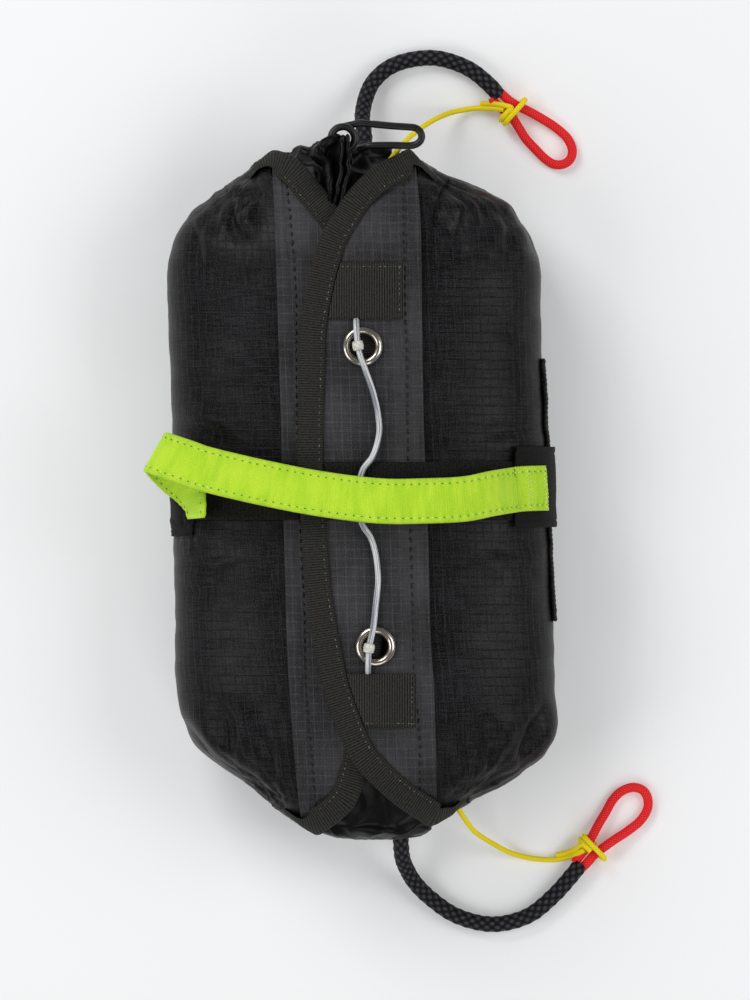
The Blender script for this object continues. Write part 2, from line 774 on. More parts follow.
    def angle_at(self, x: Points, y: Points, lift: Points = 0.0) -> Points:
        """Angle of the crown's point over each place.

        Args:
            x: Places across the pack.
            y: Places along the pack.
            lift: Height over the pack.

        Returns:
            Angles in radians.
        """
        centre, half = self.section(y)[:2]
        t = np.clip((x - centre) / (half + lift), -0.995, 0.995)
        return np.arccos(signed_power(t, CROWN_POWER / 2.0))

    def front(self, x: Points, y: Points, lift: Points) -> Points:
        """Points of the front of the pack over each place."""
        return self.shell(y, self.angle_at(x, y, lift), lift)

    def base_angle(self, x: Points, y: Points) -> Points:
        """Angle of the base's point under each place."""
        centre, half = self.section(y)[:2]
        return 2.0 * np.pi - np.arccos(signed_power((x - centre) / half, BASE_POWER / 2.0))

    def tip_lift(self, y: Points) -> Points:
        """How far both flaps stand off the pack at their gathered tips."""
        return 0.8 * smooth_step((np.abs(y) - 166.0) / 10.0)

    def flap_lift(self, x: Points, y: Points) -> Points:
        """How far the right flap is raised where it lies over the left one."""
        over = smooth_step((RIGHT_FACING_SEAM.at(y) - 1.0 - x) / 17.5)
        return (RIGHT_FACING[0] - LEFT_FACING[0]) * (over - 1.0) + self.tip_lift(y)


PACK = PackForm()


class Slot(Enum):
    """The record's material slots."""

    RIPSTOP = "ripstop"
    FACING = "facing_cloth"
    CRUMPLED = "crumpled_cloth"
    TAPE = "black_tape"
    WEBBING = "black_webbing"
    STRAP = "green_strap"
    NICKEL = "nickel"
    WIRE = "black_wire"
    CLEAR = "clear_line"
    BEAD = "white_bead"
    ROPE = "black_rope"
    RED = "red_cord"
    YELLOW = "yellow_cord"


class NodeWeb:
    """Short calls for the nodes of one material."""

    def __init__(self, name: str) -> None:
        """Start a material with a Principled shader.

        Args:
            name: Name of the material.
        """
        self.material = bpy.data.materials.new(name)
        self.material.use_nodes = True
        self.tree = self.material.node_tree
        self.shader = self.tree.nodes["Principled BSDF"]

    def add(self, kind: str, **settings: object) -> bpy.types.Node:
        """A node of a kind, with its settings.

        Args:
            kind: Type of the node.
            settings: Its properties.

        Returns:
            The node.
        """
        made = self.tree.nodes.new(kind)
        for key, value in settings.items():
            setattr(made, key, value)
        return made

    def join(self, target: bpy.types.NodeSocket, value: object) -> None:
        """Link a socket to a target, or set the target to a value."""
        if isinstance(value, bpy.types.NodeSocket):
            self.tree.links.new(value, target)
        else:
            target.default_value = value

    def math(self, operation: str, a: object, b: object = 0.0, c: object = 0.0) -> object:
        """Result of a Math node.

        Args:
            operation: What the node works out.
            a: First value or socket.
            b: Second value or socket.
            c: Third value or socket.

        Returns:
            The output socket.
        """
        made = self.add("ShaderNodeMath", operation=operation)
        for target, value in zip(made.inputs, (a, b, c)):
            self.join(target, value)
        return made.outputs[0]

    def ease(self, value: object, low: float, high: float, start: float, stop: float) -> object:
        """A value eased from one range to another.

        Args:
            value: Value or socket to ease.
            low: Start of its range.
            high: End of its range.
            start: Result at the start.
            stop: Result at the end.

        Returns:
            The output socket.
        """
        made = self.add("ShaderNodeMapRange", interpolation_type="SMOOTHSTEP")
        for target, number in zip(made.inputs, (value, low, high, start, stop)):
            self.join(target, number)
        return made.outputs[0]

    def blend(self, part: object, low: Sequence[float], high: Sequence[float]) -> object:
        """A colour between two others.

        Args:
            part: Share of the second colour.
            low: First colour.
            high: Second colour.

        Returns:
            The output socket.
        """
        made = self.add("ShaderNodeMix", data_type="RGBA")
        self.join(made.inputs[0], part)
        for target, value in ((made.inputs[6], low), (made.inputs[7], high)):
            self.join(target, value if isinstance(value, bpy.types.NodeSocket) else (*value, 1.0))
        return made.outputs[2]

    def places(self) -> object:
        """Object coordinates in millimetres.

        Returns:
            The output socket.
        """
        coords = self.add("ShaderNodeTexCoord")
        made = self.add("ShaderNodeVectorMath", operation="SCALE")
        self.join(made.inputs[0], coords.outputs["Object"])
        made.inputs["Scale"].default_value = 1.0 / MM
        return made.outputs[0]

    def weave_places(self) -> object:
        """The cloth's own across and along, in millimetres.

        Returns:
            The output socket.
        """
        coords = self.add("ShaderNodeUVMap", uv_map="cloth")
        made = self.add("ShaderNodeVectorMath", operation="SCALE")
        self.join(made.inputs[0], coords.outputs[0])
        made.inputs["Scale"].default_value = 1.0 / MM
        return made.outputs[0]

    def split(self, vector: object) -> tuple[object, object, object]:
        """The three parts of a vector.

        Args:
            vector: Socket of the vector.

        Returns:
            Sockets of its X, Y and Z.
        """
        made = self.add("ShaderNodeSeparateXYZ")
        self.join(made.inputs[0], vector)
        return made.outputs[0], made.outputs[1], made.outputs[2]

    def stretched(self, vector: object, scale: Sequence[float]) -> object:
        """A vector scaled on each axis.

        Args:
            vector: Socket of the vector.
            scale: Factor on each axis.

        Returns:
            The output socket.
        """
        made = self.add("ShaderNodeMapping")
        self.join(made.inputs["Vector"], vector)
        made.inputs["Scale"].default_value = scale
        return made.outputs[0]

    def speckle(self, vector: object, scale: float, detail: float = 2.0) -> object:
        """Noise from 0 to 1.

        Args:
            vector: Socket of the places.
            scale: Lumps in a millimetre.
            detail: Finer layers of noise.

        Returns:
            The output socket.
        """
        made = self.add("ShaderNodeTexNoise")
        self.join(made.inputs["Vector"], vector)
        made.inputs["Scale"].default_value = scale
        made.inputs["Detail"].default_value = detail
        return made.outputs[0]

    def raise_surface(self, height: object, distance: float, strength: float = 1.0) -> None:
        """Bump the shader's surface by a height of 0 to 1 over a distance in millimetres.

        Args:
            height: Socket of the height.
            distance: Full height.
            strength: Strength of the bump.
        """
        made = self.add("ShaderNodeBump")
        made.inputs["Strength"].default_value = strength
        made.inputs["Distance"].default_value = distance * MM
        self.join(made.inputs["Height"], height)
        self.join(self.shader.inputs["Normal"], made.outputs[0])

    def dress(self, color: object, roughness: object, **sockets: object) -> bpy.types.Material:
        """Join the colour, roughness and other sockets of the shader.

        Args:
            color: Colour, as a socket or three numbers.
            roughness: Roughness, as a socket or a number.
            sockets: Values of other sockets, by their names with underscores for spaces.

        Returns:
            The finished material.
        """
        value = color if isinstance(color, bpy.types.NodeSocket) else (*color, 1.0)
        self.join(self.shader.inputs["Base Color"], value)
        self.join(self.shader.inputs["Roughness"], roughness)
        for name, setting in sockets.items():
            self.join(self.shader.inputs[name.replace("_", " ")], setting)
        return self.material


@dataclass(frozen=True)
class RipstopFinish:
    """Satin ripstop cloth: a grid of thicker threads in a fine plain weave."""

    name: str
    dark: tuple[float, float, float]
    light: tuple[float, float, float]
    line: float = 0.45
    weft: float = -0.28
    roughness: float = 0.46
    contrast: float = 1.3
    grid: float = 5.0
    bump: float = 0.16

    def make(self) -> bpy.types.Material:
        """Build the material.

        Returns:
            The finished material.
        """
        web = NodeWeb(self.name)
        places = web.weave_places()
        u, v, _ = web.split(places)
        streak_u = web.speckle(web.stretched(places, (1.3, 0.08, 1.0)), 1.0, 2.0)
        streak_v = web.speckle(web.stretched(places, (0.08, 1.3, 1.0)), 1.0, 2.0)
        warp, weft = (web.ease(web.math("PINGPONG", value, 0.5 * self.grid), 0.12, 0.46, 1.0, 0.0)
                      for value in (u, v))
        fleck = web.ease(web.speckle(places, 1.3, 2.0), 0.56, 0.70, 0.0, 1.0)
        weave = web.speckle(places, 1.6, 2.0)
        threads = web.math("ADD", streak_u, streak_v)
        cloud = web.speckle(web.places(), 0.022, 3.0)
        streak = 0.21 * self.contrast
        tone = web.ease(threads, 0.78, 1.22, 0.07 - streak, 0.07 + streak)
        tone = web.math("MULTIPLY_ADD", fleck, 0.40 * self.contrast, tone)
        spread = 0.28 * self.contrast
        tone = web.math("ADD", web.ease(weave, 0.36, 0.64, 0.18 - spread, 0.18 + spread), tone)
        tone = web.math("ADD", web.ease(cloud, 0.36, 0.64, -0.05, 0.16), tone)
        broken = web.math("MULTIPLY", warp, web.ease(weave, 0.42, 0.62, 0.1, 1.0))
        tone = web.math("MULTIPLY_ADD", broken, self.line, tone)
        faded = web.math("MULTIPLY", weft, web.ease(streak_u, 0.35, 0.6, 0.3, 1.0))
        tone = web.math("MULTIPLY_ADD", faded, self.weft, tone)
        color = web.blend(tone, self.dark, self.light)
        line = web.math("MAXIMUM", warp, weft)
        height = web.math("MULTIPLY_ADD", line, 0.7, web.math("MULTIPLY", threads, 0.25))
        height = web.math("MULTIPLY_ADD", weave, 0.5, height)
        web.raise_surface(height, self.bump)
        rough = web.ease(weave, 0.3, 0.7, self.roughness - 0.06, self.roughness + 0.08)
        return web.dress(color, rough, Specular_IOR_Level=0.12)


@dataclass(frozen=True)
class CrumpleFinish:
    """Light glossy nylon, creased by hand."""

    name: str
    dark: tuple[float, float, float] = (0.0010, 0.0010, 0.0011)
    light: tuple[float, float, float] = (0.0042, 0.0042, 0.0045)
    roughness: float = 0.33

    def make(self) -> bpy.types.Material:
        """Build the material.

        Returns:
            The finished material.
        """
        web = NodeWeb(self.name)
        places = web.places()
        crease = web.add("ShaderNodeTexNoise", noise_type="RIDGED_MULTIFRACTAL")
        web.join(crease.inputs["Vector"], places)
        crease.inputs["Scale"].default_value = 0.11
        crease.inputs["Detail"].default_value = 3.0
        weave = web.speckle(places, 2.4, 2.0)
        height = web.math("MULTIPLY_ADD", crease.outputs[0], 0.9, web.math("MULTIPLY", weave, 0.10))
        web.raise_surface(height, 0.4, 0.8)
        color = web.blend(web.speckle(places, 0.35, 4.0), self.dark, self.light)
        rough = web.ease(weave, 0.3, 0.7, self.roughness - 0.05, self.roughness + 0.08)
        return web.dress(color, rough, Specular_IOR_Level=0.14)


@dataclass(frozen=True)
class RibbedFinish:
    """Black tape or webbing with ribs across or along it and light thread flecks."""

    name: str
    dark: tuple[float, float, float]
    light: tuple[float, float, float]
    pitch: float
    along: bool
    bump: float = 0.3
    flecks: float = 0.4
    ribs: float = 0.3
    dots: float = 0.4
    roughness: float = 0.78

    def make(self) -> bpy.types.Material:
        """Build the material.

        Returns:
            The finished material.
        """
        web = NodeWeb(self.name)
        places = web.weave_places()
        u, v, _ = web.split(places)
        warp, weft = (u, v) if self.along else (v, u)
        wave = web.math("PINGPONG", warp, 0.5 * self.pitch)
        rib = web.ease(wave, 0.0, 0.5 * self.pitch, 0.0, 1.0)
        turn = web.math("ADD", weft, web.math("MULTIPLY", web.math("ROUND", web.math(
            "DIVIDE", warp, self.pitch)), 0.45))
        knit = web.ease(web.math("PINGPONG", turn, 0.45), 0.0, 0.45, 0.0, 1.0)
        grain = web.speckle(places, 1.9, 3.0)
        fleck = web.ease(grain, 0.60, 0.76, 0.0, self.flecks)
        tone = web.math("MULTIPLY_ADD", rib, self.ribs, web.math("MULTIPLY", knit, 0.14))
        tone = web.math("ADD", web.ease(web.speckle(places, 0.9, 2.0), 0.35, 0.65, -0.1, 0.22), tone)
        tone = web.math("ADD", tone, fleck)
        dot = web.ease(web.math("MINIMUM", rib, knit), 0.72, 0.95, 0.0, self.dots)
        tone = web.math("ADD", tone, web.math("MULTIPLY", dot, web.ease(grain, 0.4, 0.6, 0.2, 1.0)))
        color = web.blend(tone, self.dark, self.light)
        height = web.math("MULTIPLY_ADD", rib, 0.8, web.math("MULTIPLY", knit, 0.3))
        height = web.math("MULTIPLY_ADD", grain, 0.25, height)
        web.raise_surface(height, self.bump)
        return web.dress(color, self.roughness, Specular_IOR_Level=0.22)


@dataclass(frozen=True)
class StrapFinish:
    """Lime woven strap: rows of slanting stitches with darker pits between them."""

    name: str
    dark: tuple[float, float, float] = (0.370, 0.740, 0.008)
    light: tuple[float, float, float] = (0.720, 1.000, 0.050)
    row: float = 0.8
    bump: float = 0.2

    def make(self) -> bpy.types.Material:
        """Build the material.

        Returns:
            The finished material.
        """
        web = NodeWeb(self.name)
        places = web.weave_places()
        u, v, _ = web.split(places)
        across = web.math("DIVIDE", u, self.row)
        side = web.math("PINGPONG", u, self.row)
        slant = web.math("MULTIPLY_ADD", side, 0.9, v)
        cell = web.math("PINGPONG", slant, 0.72)
        stitch = web.ease(cell, 0.05, 0.6, 0.0, 1.0)
        gap = web.ease(web.math("PINGPONG", across, 0.5), 0.0, 0.24, 0.0, 1.0)
        grain = web.speckle(places, 2.0, 3.0)
        rows = web.math("MULTIPLY", stitch, gap)
        tone = web.math("MULTIPLY_ADD", rows, 0.20, web.ease(grain, 0.34, 0.66, -0.06, 0.34))
        patchy = web.speckle(web.stretched(places, (0.04, 0.14, 1.0)), 1.0, 3.0)
        tone = web.math("ADD", web.ease(patchy, 0.34, 0.66, 0.12, 0.46), tone)
        color = web.blend(tone, self.dark, self.light)
        web.raise_surface(web.math("MULTIPLY_ADD", grain, 0.3, rows), self.bump)
        return web.dress(color, 0.72, Specular_IOR_Level=0.3, Sheen_Weight=0.10)


@dataclass(frozen=True)
class BraidFinish:
    """Braided cord: bright yarns with dark gaps, read from the braid's own depth."""

    name: str
    gap: tuple[float, float, float]
    yarn: tuple[float, float, float]
    tip: tuple[float, float, float]
    roughness: float = 0.6

    def make(self) -> bpy.types.Material:
        """Build the material.

        Returns:
            The finished material.
        """
        web = NodeWeb(self.name)
        depth = web.add("ShaderNodeAttribute", attribute_name="braid").outputs["Fac"]
        hair = web.speckle(web.places(), 2.6, 3.0)
        tone = web.blend(web.ease(depth, 0.45, 0.85, 0.0, 1.0), self.gap, self.yarn)
        bright = web.math("MULTIPLY", web.ease(hair, 0.35, 0.7, 0.25, 1.0),
                          web.ease(depth, 0.72, 1.0, 0.0, 1.0))
        color = web.blend(bright, tone, self.tip)
        web.raise_surface(hair, 0.18)
        return web.dress(color, self.roughness, Specular_IOR_Level=0.2)


@dataclass(frozen=True)
class SmoothFinish:
    """Metal, coated wire or plastic with fine wear."""

    name: str
    color: tuple[float, float, float]
    worn: tuple[float, float, float]
    roughness: float
    metallic: float = 0.0
    transmission: float = 0.0
    bump: float = 0.03
    streaks: bool = False

    def make(self) -> bpy.types.Material:
        """Build the material.

        Returns:
            The finished material.
        """
        web = NodeWeb(self.name)
        places = web.places()
        wear = web.speckle(places, 0.7, 5.0)
        fine = web.speckle(places, 6.0, 2.0)
        marks = wear
        if self.streaks:
            marks = web.speckle(web.stretched(web.weave_places(), (1.1, 0.03, 1.0)), 1.0, 2.0)
        color = web.blend(web.ease(marks, 0.42, 0.62, 0.0, 1.0), self.color, self.worn)
        rough = web.ease(wear, 0.3, 0.7, self.roughness - 0.03, self.roughness + 0.04)
        web.raise_surface(fine, self.bump)
        return web.dress(color, rough, Metallic=self.metallic,
                         Transmission_Weight=self.transmission)


@dataclass(frozen=True)
class ThreadFinish:
    """Sewing thread."""

    name: str
    color: tuple[float, float, float]
    glint: tuple[float, float, float]

    def make(self) -> bpy.types.Material:
        """Build the material.

        Returns:
            The finished material.
        """
        web = NodeWeb(self.name)
        tone = web.ease(web.speckle(web.places(), 0.9, 2.0), 0.42, 0.66, 0.0, 1.0)
        return web.dress(web.blend(tone, self.color, self.glint), 0.6, Sheen_Weight=0.05)


def rgb(red: int, green: int, blue: int) -> tuple[float, float, float]:
    """Linear colour from display values of 0 to 255.

    Args:
        red: Red value.
        green: Green value.
        blue: Blue value.

    Returns:
        Linear red, green and blue.
    """
    parts = [value / 255.0 for value in (red, green, blue)]
    red, green, blue = (p / 12.92 if p <= 0.04045 else ((p + 0.055) / 1.055) ** 2.4 for p in parts)
    return red, green, blue


RIPSTOP = RipstopFinish("ripstop_cloth", rgb(0, 0, 0), rgb(46, 45, 48), line=0.34,
                        weft=-0.14, roughness=0.36, contrast=1.35)
FACING = RipstopFinish("facing_ripstop", rgb(18, 18, 19), rgb(92, 92, 95), line=0.3, weft=0.2,
                       contrast=0.3)
CRUMPLED = CrumpleFinish("crumpled_nylon")
TAPE = RibbedFinish("binding_tape", rgb(0, 0, 0), rgb(56, 55, 50), 1.4, False, 0.15, 0.9, 0.7, 0.2)
PATCH_TAPE = RibbedFinish("patch_tape", rgb(0, 0, 0), rgb(62, 61, 56), 1.4, True, 0.2, 0.5, 0.8, 0.2)
WEBBING = RibbedFinish("coarse_webbing", rgb(0, 0, 0), rgb(62, 60, 56), 2.3, True, 0.3, 0.0, -0.1, 0.9)
TAB_CLOTH = RibbedFinish("tab_webbing", rgb(3, 3, 3), rgb(34, 33, 32), 1.3, False, 0.15, 0.15, 0.2)
LIME = StrapFinish("lime_strap")
ROPE_BRAID = BraidFinish("black_braid", rgb(0, 0, 0), rgb(22, 22, 26), rgb(80, 80, 90), 0.6)
RED_BRAID = BraidFinish("red_braid", rgb(214, 14, 20), rgb(248, 38, 44), rgb(255, 84, 80))
YELLOW_BRAID = BraidFinish("yellow_braid", rgb(236, 196, 0), rgb(255, 238, 8), rgb(255, 248, 96))
NICKEL_METAL = SmoothFinish("satin_nickel", rgb(196, 190, 180), rgb(176, 170, 160), 0.22, 1.0,
                            bump=0.0)
WIRE_COAT = SmoothFinish("black_coat", rgb(5, 5, 6), rgb(15, 15, 16), 0.4)
CLEAR_LINE = SmoothFinish("clear_plastic", rgb(250, 251, 253), rgb(146, 150, 160), 0.14,
                          transmission=0.3, bump=0.0, streaks=True)
BEAD_PLASTIC = SmoothFinish("bead_plastic", rgb(226, 224, 216), rgb(196, 194, 186), 0.36)
BLACK_THREAD = ThreadFinish("black_thread", rgb(0, 0, 0), rgb(12, 12, 13))
TAPE_THREAD = ThreadFinish("tape_thread", rgb(20, 20, 18), rgb(128, 125, 112))
LIME_THREAD = ThreadFinish("lime_thread", rgb(206, 236, 96), rgb(232, 250, 150))
LIME_PIT = ThreadFinish("lime_pit", rgb(92, 130, 12), rgb(124, 162, 22))


def finish_piece(name: str, shape: bmesh.types.BMesh, look: bpy.types.Material, slot: Slot,
                 nodes: Sequence[str] = (), smooth: bool = True) -> bpy.types.Object:
    """Turn a mesh in millimetres into a piece of the pack.

    Args:
        name: Name of the piece.
        shape: Its mesh, which is freed.
        look: Its material.
        slot: The record's slot of its finish.
        nodes: The CAD nodes that it stands for.
        smooth: Whether its faces are shaded smooth.

    Returns:
        The object, at the origin, riding on the part's one body.
    """
    bmesh.ops.scale(shape, vec=(MM, MM, MM), verts=shape.verts)
    for face in shape.faces:
        face.smooth = smooth
    data = bpy.data.meshes.new(name)
    shape.to_mesh(data)
    shape.free()
    data.materials.append(look)
    made = bpy.data.objects.new(name, data)
    bpy.context.collection.objects.link(made)
    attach(made, "root")
    if nodes:
        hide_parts(*nodes)
    LOG.info("%s: %d faces", name, len(data.polygons))
    return made


def laid_grid(columns: int, rows: int, lay: Lay, weave: Lay) -> bmesh.types.BMesh:
    """A flat grid laid on a form, with its cloth map.

    Args:
        columns: Faces across.
        rows: Faces along.
        lay: Gives points from shares across and along.
        weave: Gives the cloth's own millimetres across and along from the same shares.

    Returns:
        The mesh, in millimetres.
    """
    shape = bmesh.new()
    bmesh.ops.create_grid(shape, x_segments=columns, y_segments=rows, size=1.0)
    flat = 0.5 * np.array([vert.co[:2] for vert in shape.verts]) + 0.5
    points = lay(flat[:, 0], flat[:, 1])
    cloth = weave(flat[:, 0], flat[:, 1]) * MM
    for vert, point in zip(shape.verts, points.tolist()):
        vert.co = point
    shape.verts.index_update()
    layer = shape.loops.layers.uv.new("cloth")
    for face in shape.faces:
        for loop in face.loops:
            loop[layer].uv = cloth[loop.vert.index]
    return shape


def face_outwards(shape: bmesh.types.BMesh, outward: Vector) -> None:
    """Turn an open sheet's faces so that as a whole they look outward.

    Args:
        shape: The sheet's mesh.
        outward: Way that they look.
    """
    shape.normal_update()
    total = Vector()
    for face in shape.faces:
        total += face.normal * face.calc_area()
    if total.dot(outward) < 0.0:
        bmesh.ops.reverse_faces(shape, faces=shape.faces)


def thicken(piece: bpy.types.Object, thickness: float) -> None:
    """Give a sheet its thickness, inwards from its outer face.

    Args:
        piece: The sheet.
        thickness: Thickness in millimetres.
    """
    wall = piece.modifiers.new("thickness", "SOLIDIFY")
    wall.thickness = thickness * MM
    wall.offset = -1.0
    wall.use_rim = True
    wall.use_even_offset = False


def closed_tube(rings: Points, cloth_turn: float, cloth_length: Points,
                braid: Points | None = None) -> bmesh.types.BMesh:
    """A tube through equal rings of points, with closed ends and a cloth map.

    Args:
        rings: Rows of rings of points, in millimetres.
        cloth_turn: Distance round the tube on the cloth map.
        cloth_length: Distance along the tube of each ring.
        braid: Height of the yarns at each point, kept as an attribute.

    Returns:
        The mesh, in millimetres.
    """
    rows, columns = rings.shape[:2]
    shape = bmesh.new()
    bmesh.ops.create_grid(shape, x_segments=columns, y_segments=rows - 1, size=1.0)
    layer = shape.loops.layers.uv.new("cloth")
    cells = []
    for vert in shape.verts:
        j = round((0.5 * vert.co.x + 0.5) * columns)
        i = round((0.5 * vert.co.y + 0.5) * (rows - 1))
        cells.append((i, j))
    shape.verts.index_update()
    for face in shape.faces:
        for loop in face.loops:
            i, j = cells[loop.vert.index]
            loop[layer].uv = (cloth_turn * j / columns * MM, cloth_length[i] * MM)
    height = shape.verts.layers.float.new("braid") if braid is not None else None
    for vert, (i, j) in zip(shape.verts, cells):
        vert.co = rings[i, j % columns]
        if height:
            vert[height] = braid[i, j % columns]
    seam = [vert for vert, cell in zip(shape.verts, cells) if cell[1] in (0, columns)]
    bmesh.ops.remove_doubles(shape, verts=seam, dist=1e-4)
    ends = [edge for edge in shape.edges if edge.is_boundary]
    bmesh.ops.holes_fill(shape, edges=ends, sides=0)
    bmesh.ops.recalc_face_normals(shape, faces=shape.faces)
    return shape


@dataclass
class Route:
    """A smooth curve through a few points, with a frame that doesn't twist."""

    points: Points
    step: float = 0.5
    line: Points = field(init=False)
    length: Points = field(init=False)

    def __post_init__(self) -> None:
        """Space points evenly along the curve."""
        fine = self.catmull(np.asarray(self.points, dtype=float), 60)
        travel = travelled(fine)
        count = max(3, round(travel[-1] / self.step) + 1)
        self.length = np.linspace(0.0, travel[-1], count)
        self.line = np.stack([np.interp(self.length, travel, fine[:, k]) for k in range(3)], 1)

    @staticmethod
    def catmull(points: Points, parts: int) -> Points:
        """Points of a smooth curve through others.

        Args:
            points: Points to pass through.
            parts: Steps between two.

        Returns:
            Points of the curve.
        """
        first = 2.0 * points[:1] - points[1:2]
        last = 2.0 * points[-1:] - points[-2:-1]
        p = np.concatenate((first, points, last))
        t = np.linspace(0.0, 1.0, parts, endpoint=False)[None, :, None]
        p0, p1, p2, p3 = (p[k:len(p) - 3 + k, None, :] for k in range(4))
        even = 2.0 * p1 + (p2 - p0) * t + (2.0 * p0 - 5.0 * p1 + 4.0 * p2 - p3) * t ** 2
        curve = 0.5 * (even + (3.0 * p1 - p0 - 3.0 * p2 + p3) * t ** 3)
        return np.concatenate((curve.reshape(-1, points.shape[1]), points[-1:]))

    def tangents(self) -> Points:
        """Direction of the line at each point."""
        along = np.gradient(self.line, axis=0)
        return along / np.linalg.norm(along, axis=1, keepdims=True)

    def frames(self) -> tuple[Points, Points]:
        """Two directions across the line at each point, carried along without twist.

        Returns:
            Two sets of unit vectors, square to the line and to each other.
        """
        along = self.tangents()
        side = np.cross(along[0], (0.0, 0.0, 1.0))
        if np.linalg.norm(side) < 0.1:
            side = np.cross(along[0], (1.0, 0.0, 0.0))
        sides = []
        for direction in along:
            side = side - direction * np.dot(side, direction)
            side = side / np.linalg.norm(side)
            sides.append(side)
        first = np.array(sides)
        return first, np.cross(along, first)

    def centreline(self) -> list[list[float]]:
        """The line's points in metres, about four millimetres apart.

        Returns:
            Lists of three coordinates.
        """
        skip = max(1, round(4.0 / self.step))
        places = list(range(0, len(self.line) - 1, skip)) + [len(self.line) - 1]
        return (self.line[places] * MM).tolist()


@dataclass(frozen=True)
class Braid:
    """How the yarns of a braided cord cross."""

    diameter: float
    carriers: int
    pitch: float
    relief: float
    columns: int
    step: float
    look: BraidFinish
    slot: Slot

    def height(self, turn: Points, travel: Points) -> Points:
        """Height of the yarns, from 0 to 1, over a place round and along the cord.

        Args:
            turn: Share of a turn round the cord.
            travel: Distance along the cord.

        Returns:
            The height at each place.
        """
        a = self.carriers * turn + travel / self.pitch
        b = self.carriers * turn - travel / self.pitch
        over_a = np.cos(np.pi * (b - 0.5) + np.pi * np.floor(a))
        over_b = -np.cos(np.pi * (a - 0.5) + np.pi * np.floor(b))
        round_a = np.sqrt(np.clip(1.0 - (2.0 * (a % 1.0) - 1.0) ** 2, 0.0, 1.0))
        round_b = np.sqrt(np.clip(1.0 - (2.0 * (b % 1.0) - 1.0) ** 2, 0.0, 1.0))
        return np.clip(np.maximum(0.62 * round_a + 0.38 * over_a, 0.62 * round_b + 0.38 * over_b),
                       0.0, 1.0)

    def tube(self, name: str, route: Route, nodes: Sequence[str],
             taper: Points | None = None) -> bpy.types.Object:
        """A braided cord along a route.

        Args:
            name: Name of the piece.
            route: Its centre line.
            nodes: The CAD nodes that it stands for.
            taper: Share of the full width at each point, or none.

        Returns:
            The finished piece.
        """
        first, second = route.frames()
        turn = np.arange(self.columns) / self.columns
        height = self.height(turn[None, :], route.length[:, None])
        radius = 0.5 * self.diameter - self.relief * (1.0 - height)
        if taper is not None:
            radius = radius * taper[:, None]
        c = (radius * np.cos(2.0 * np.pi * turn))[..., None]
        s = (radius * np.sin(2.0 * np.pi * turn))[..., None]
        rings = route.line[:, None, :] + c * first[:, None, :] + s * second[:, None, :]
        rings[..., 2] = np.maximum(rings[..., 2], 0.05)
        shape = closed_tube(rings, math.pi * self.diameter, route.length, height)
        return finish_piece(name, shape, self.look.make(), self.slot, nodes)


ROPE = Braid(ROPE_DIAMETER, 6, 5.6, 0.8, 60, 0.6, ROPE_BRAID, Slot.ROPE)
RED_CORD = Braid(EYE_CORD_DIAMETER, 8, 1.7, 0.13, 48, 0.36, RED_BRAID, Slot.RED)
YELLOW_CORD = Braid(YELLOW_DIAMETER, 6, 1.3, 0.16, 36, 0.33, YELLOW_BRAID, Slot.YELLOW)


@dataclass
class Studio:
    """Camera straight over the pack, soft lights and a pale floor."""

    centre: tuple[float, float] = (0.0072, -0.0028)
    distance: float = 12.0
    frame_height: float = 0.5556
    sensor: float = 36.0
    floor_half: float = 3.0
    floor_color: tuple[float, float, float] = rgb(236, 237, 238)

    def camera(self) -> None:
        """Look straight down, with the pack's length up the frame."""
        data = bpy.data.cameras.new("camera")
        data.sensor_fit = "VERTICAL"
        data.sensor_height = self.sensor
        data.sensor_width = self.sensor
        data.lens = self.sensor * self.distance / self.frame_height
        made = bpy.data.objects.new("camera", data)
        made.location = (*self.centre, self.distance)
        bpy.context.collection.objects.link(made)
        bpy.context.scene.camera = made

    def floor(self) -> None:
        """Lay a pale floor just under the pack."""
        shape = bmesh.new()
        bmesh.ops.create_grid(shape, x_segments=1, y_segments=1, size=self.floor_half)
        data = bpy.data.meshes.new("floor")
        shape.to_mesh(data)
        shape.free()
        web = NodeWeb("pale_floor")
        tone = web.speckle(web.places(), 0.004, 2.0)
        paler = tuple(1.02 * value for value in self.floor_color)
        data.materials.append(web.dress(web.blend(tone, self.floor_color, paler), 0.7,
                                        Specular_IOR_Level=0.2, Emission_Strength=0.17,
                                        Emission_Color=(*self.floor_color, 1.0)))
        made = bpy.data.objects.new("floor", data)
        made.location = (0.0, 0.0, -0.0002)
        bpy.context.collection.objects.link(made)
        made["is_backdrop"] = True

    def light(self, name: str, place: Sequence[float], size: float, power: float) -> None:
        """Point a soft square light at the pack.

        Args:
            name: Name of the light.
            place: Where it hangs, in metres.
            size: Its width in metres.
            power: Its power in watts.
        """
        data = bpy.data.lights.new(name, "AREA")
        data.size = size
        data.energy = power
        made = bpy.data.objects.new(name, data)
        made.location = place
        aim = Vector((0.0, 0.0, 0.05)) - Vector(place)
        made.rotation_mode = "QUATERNION"
        made.rotation_quaternion = aim.to_track_quat("-Z", "Y")
        bpy.context.collection.objects.link(made)

    def build(self) -> None:
        """Set up the whole studio."""
        self.camera()
        self.floor()
        self.light("key", (-1.0, 1.4, 1.4), 1.0, 20.0)
        self.light("left", (-1.6, -0.5, 1.4), 1.2, 14.0)
        self.light("right", (1.6, 0.1, 1.4), 1.3, 16.5)
        self.light("front", (0.3, -1.6, 1.4), 1.2, 9.0)
        world = bpy.data.worlds.new("soft_room")
        world.use_nodes = True
        sky = world.node_tree.nodes["Background"]
        sky.inputs["Color"].default_value = (1.0, 1.0, 1.0, 1.0)
        sky.inputs["Strength"].default_value = 0.16
        bpy.context.scene.world = world
        bpy.context.scene.view_settings.view_transform = "Standard"


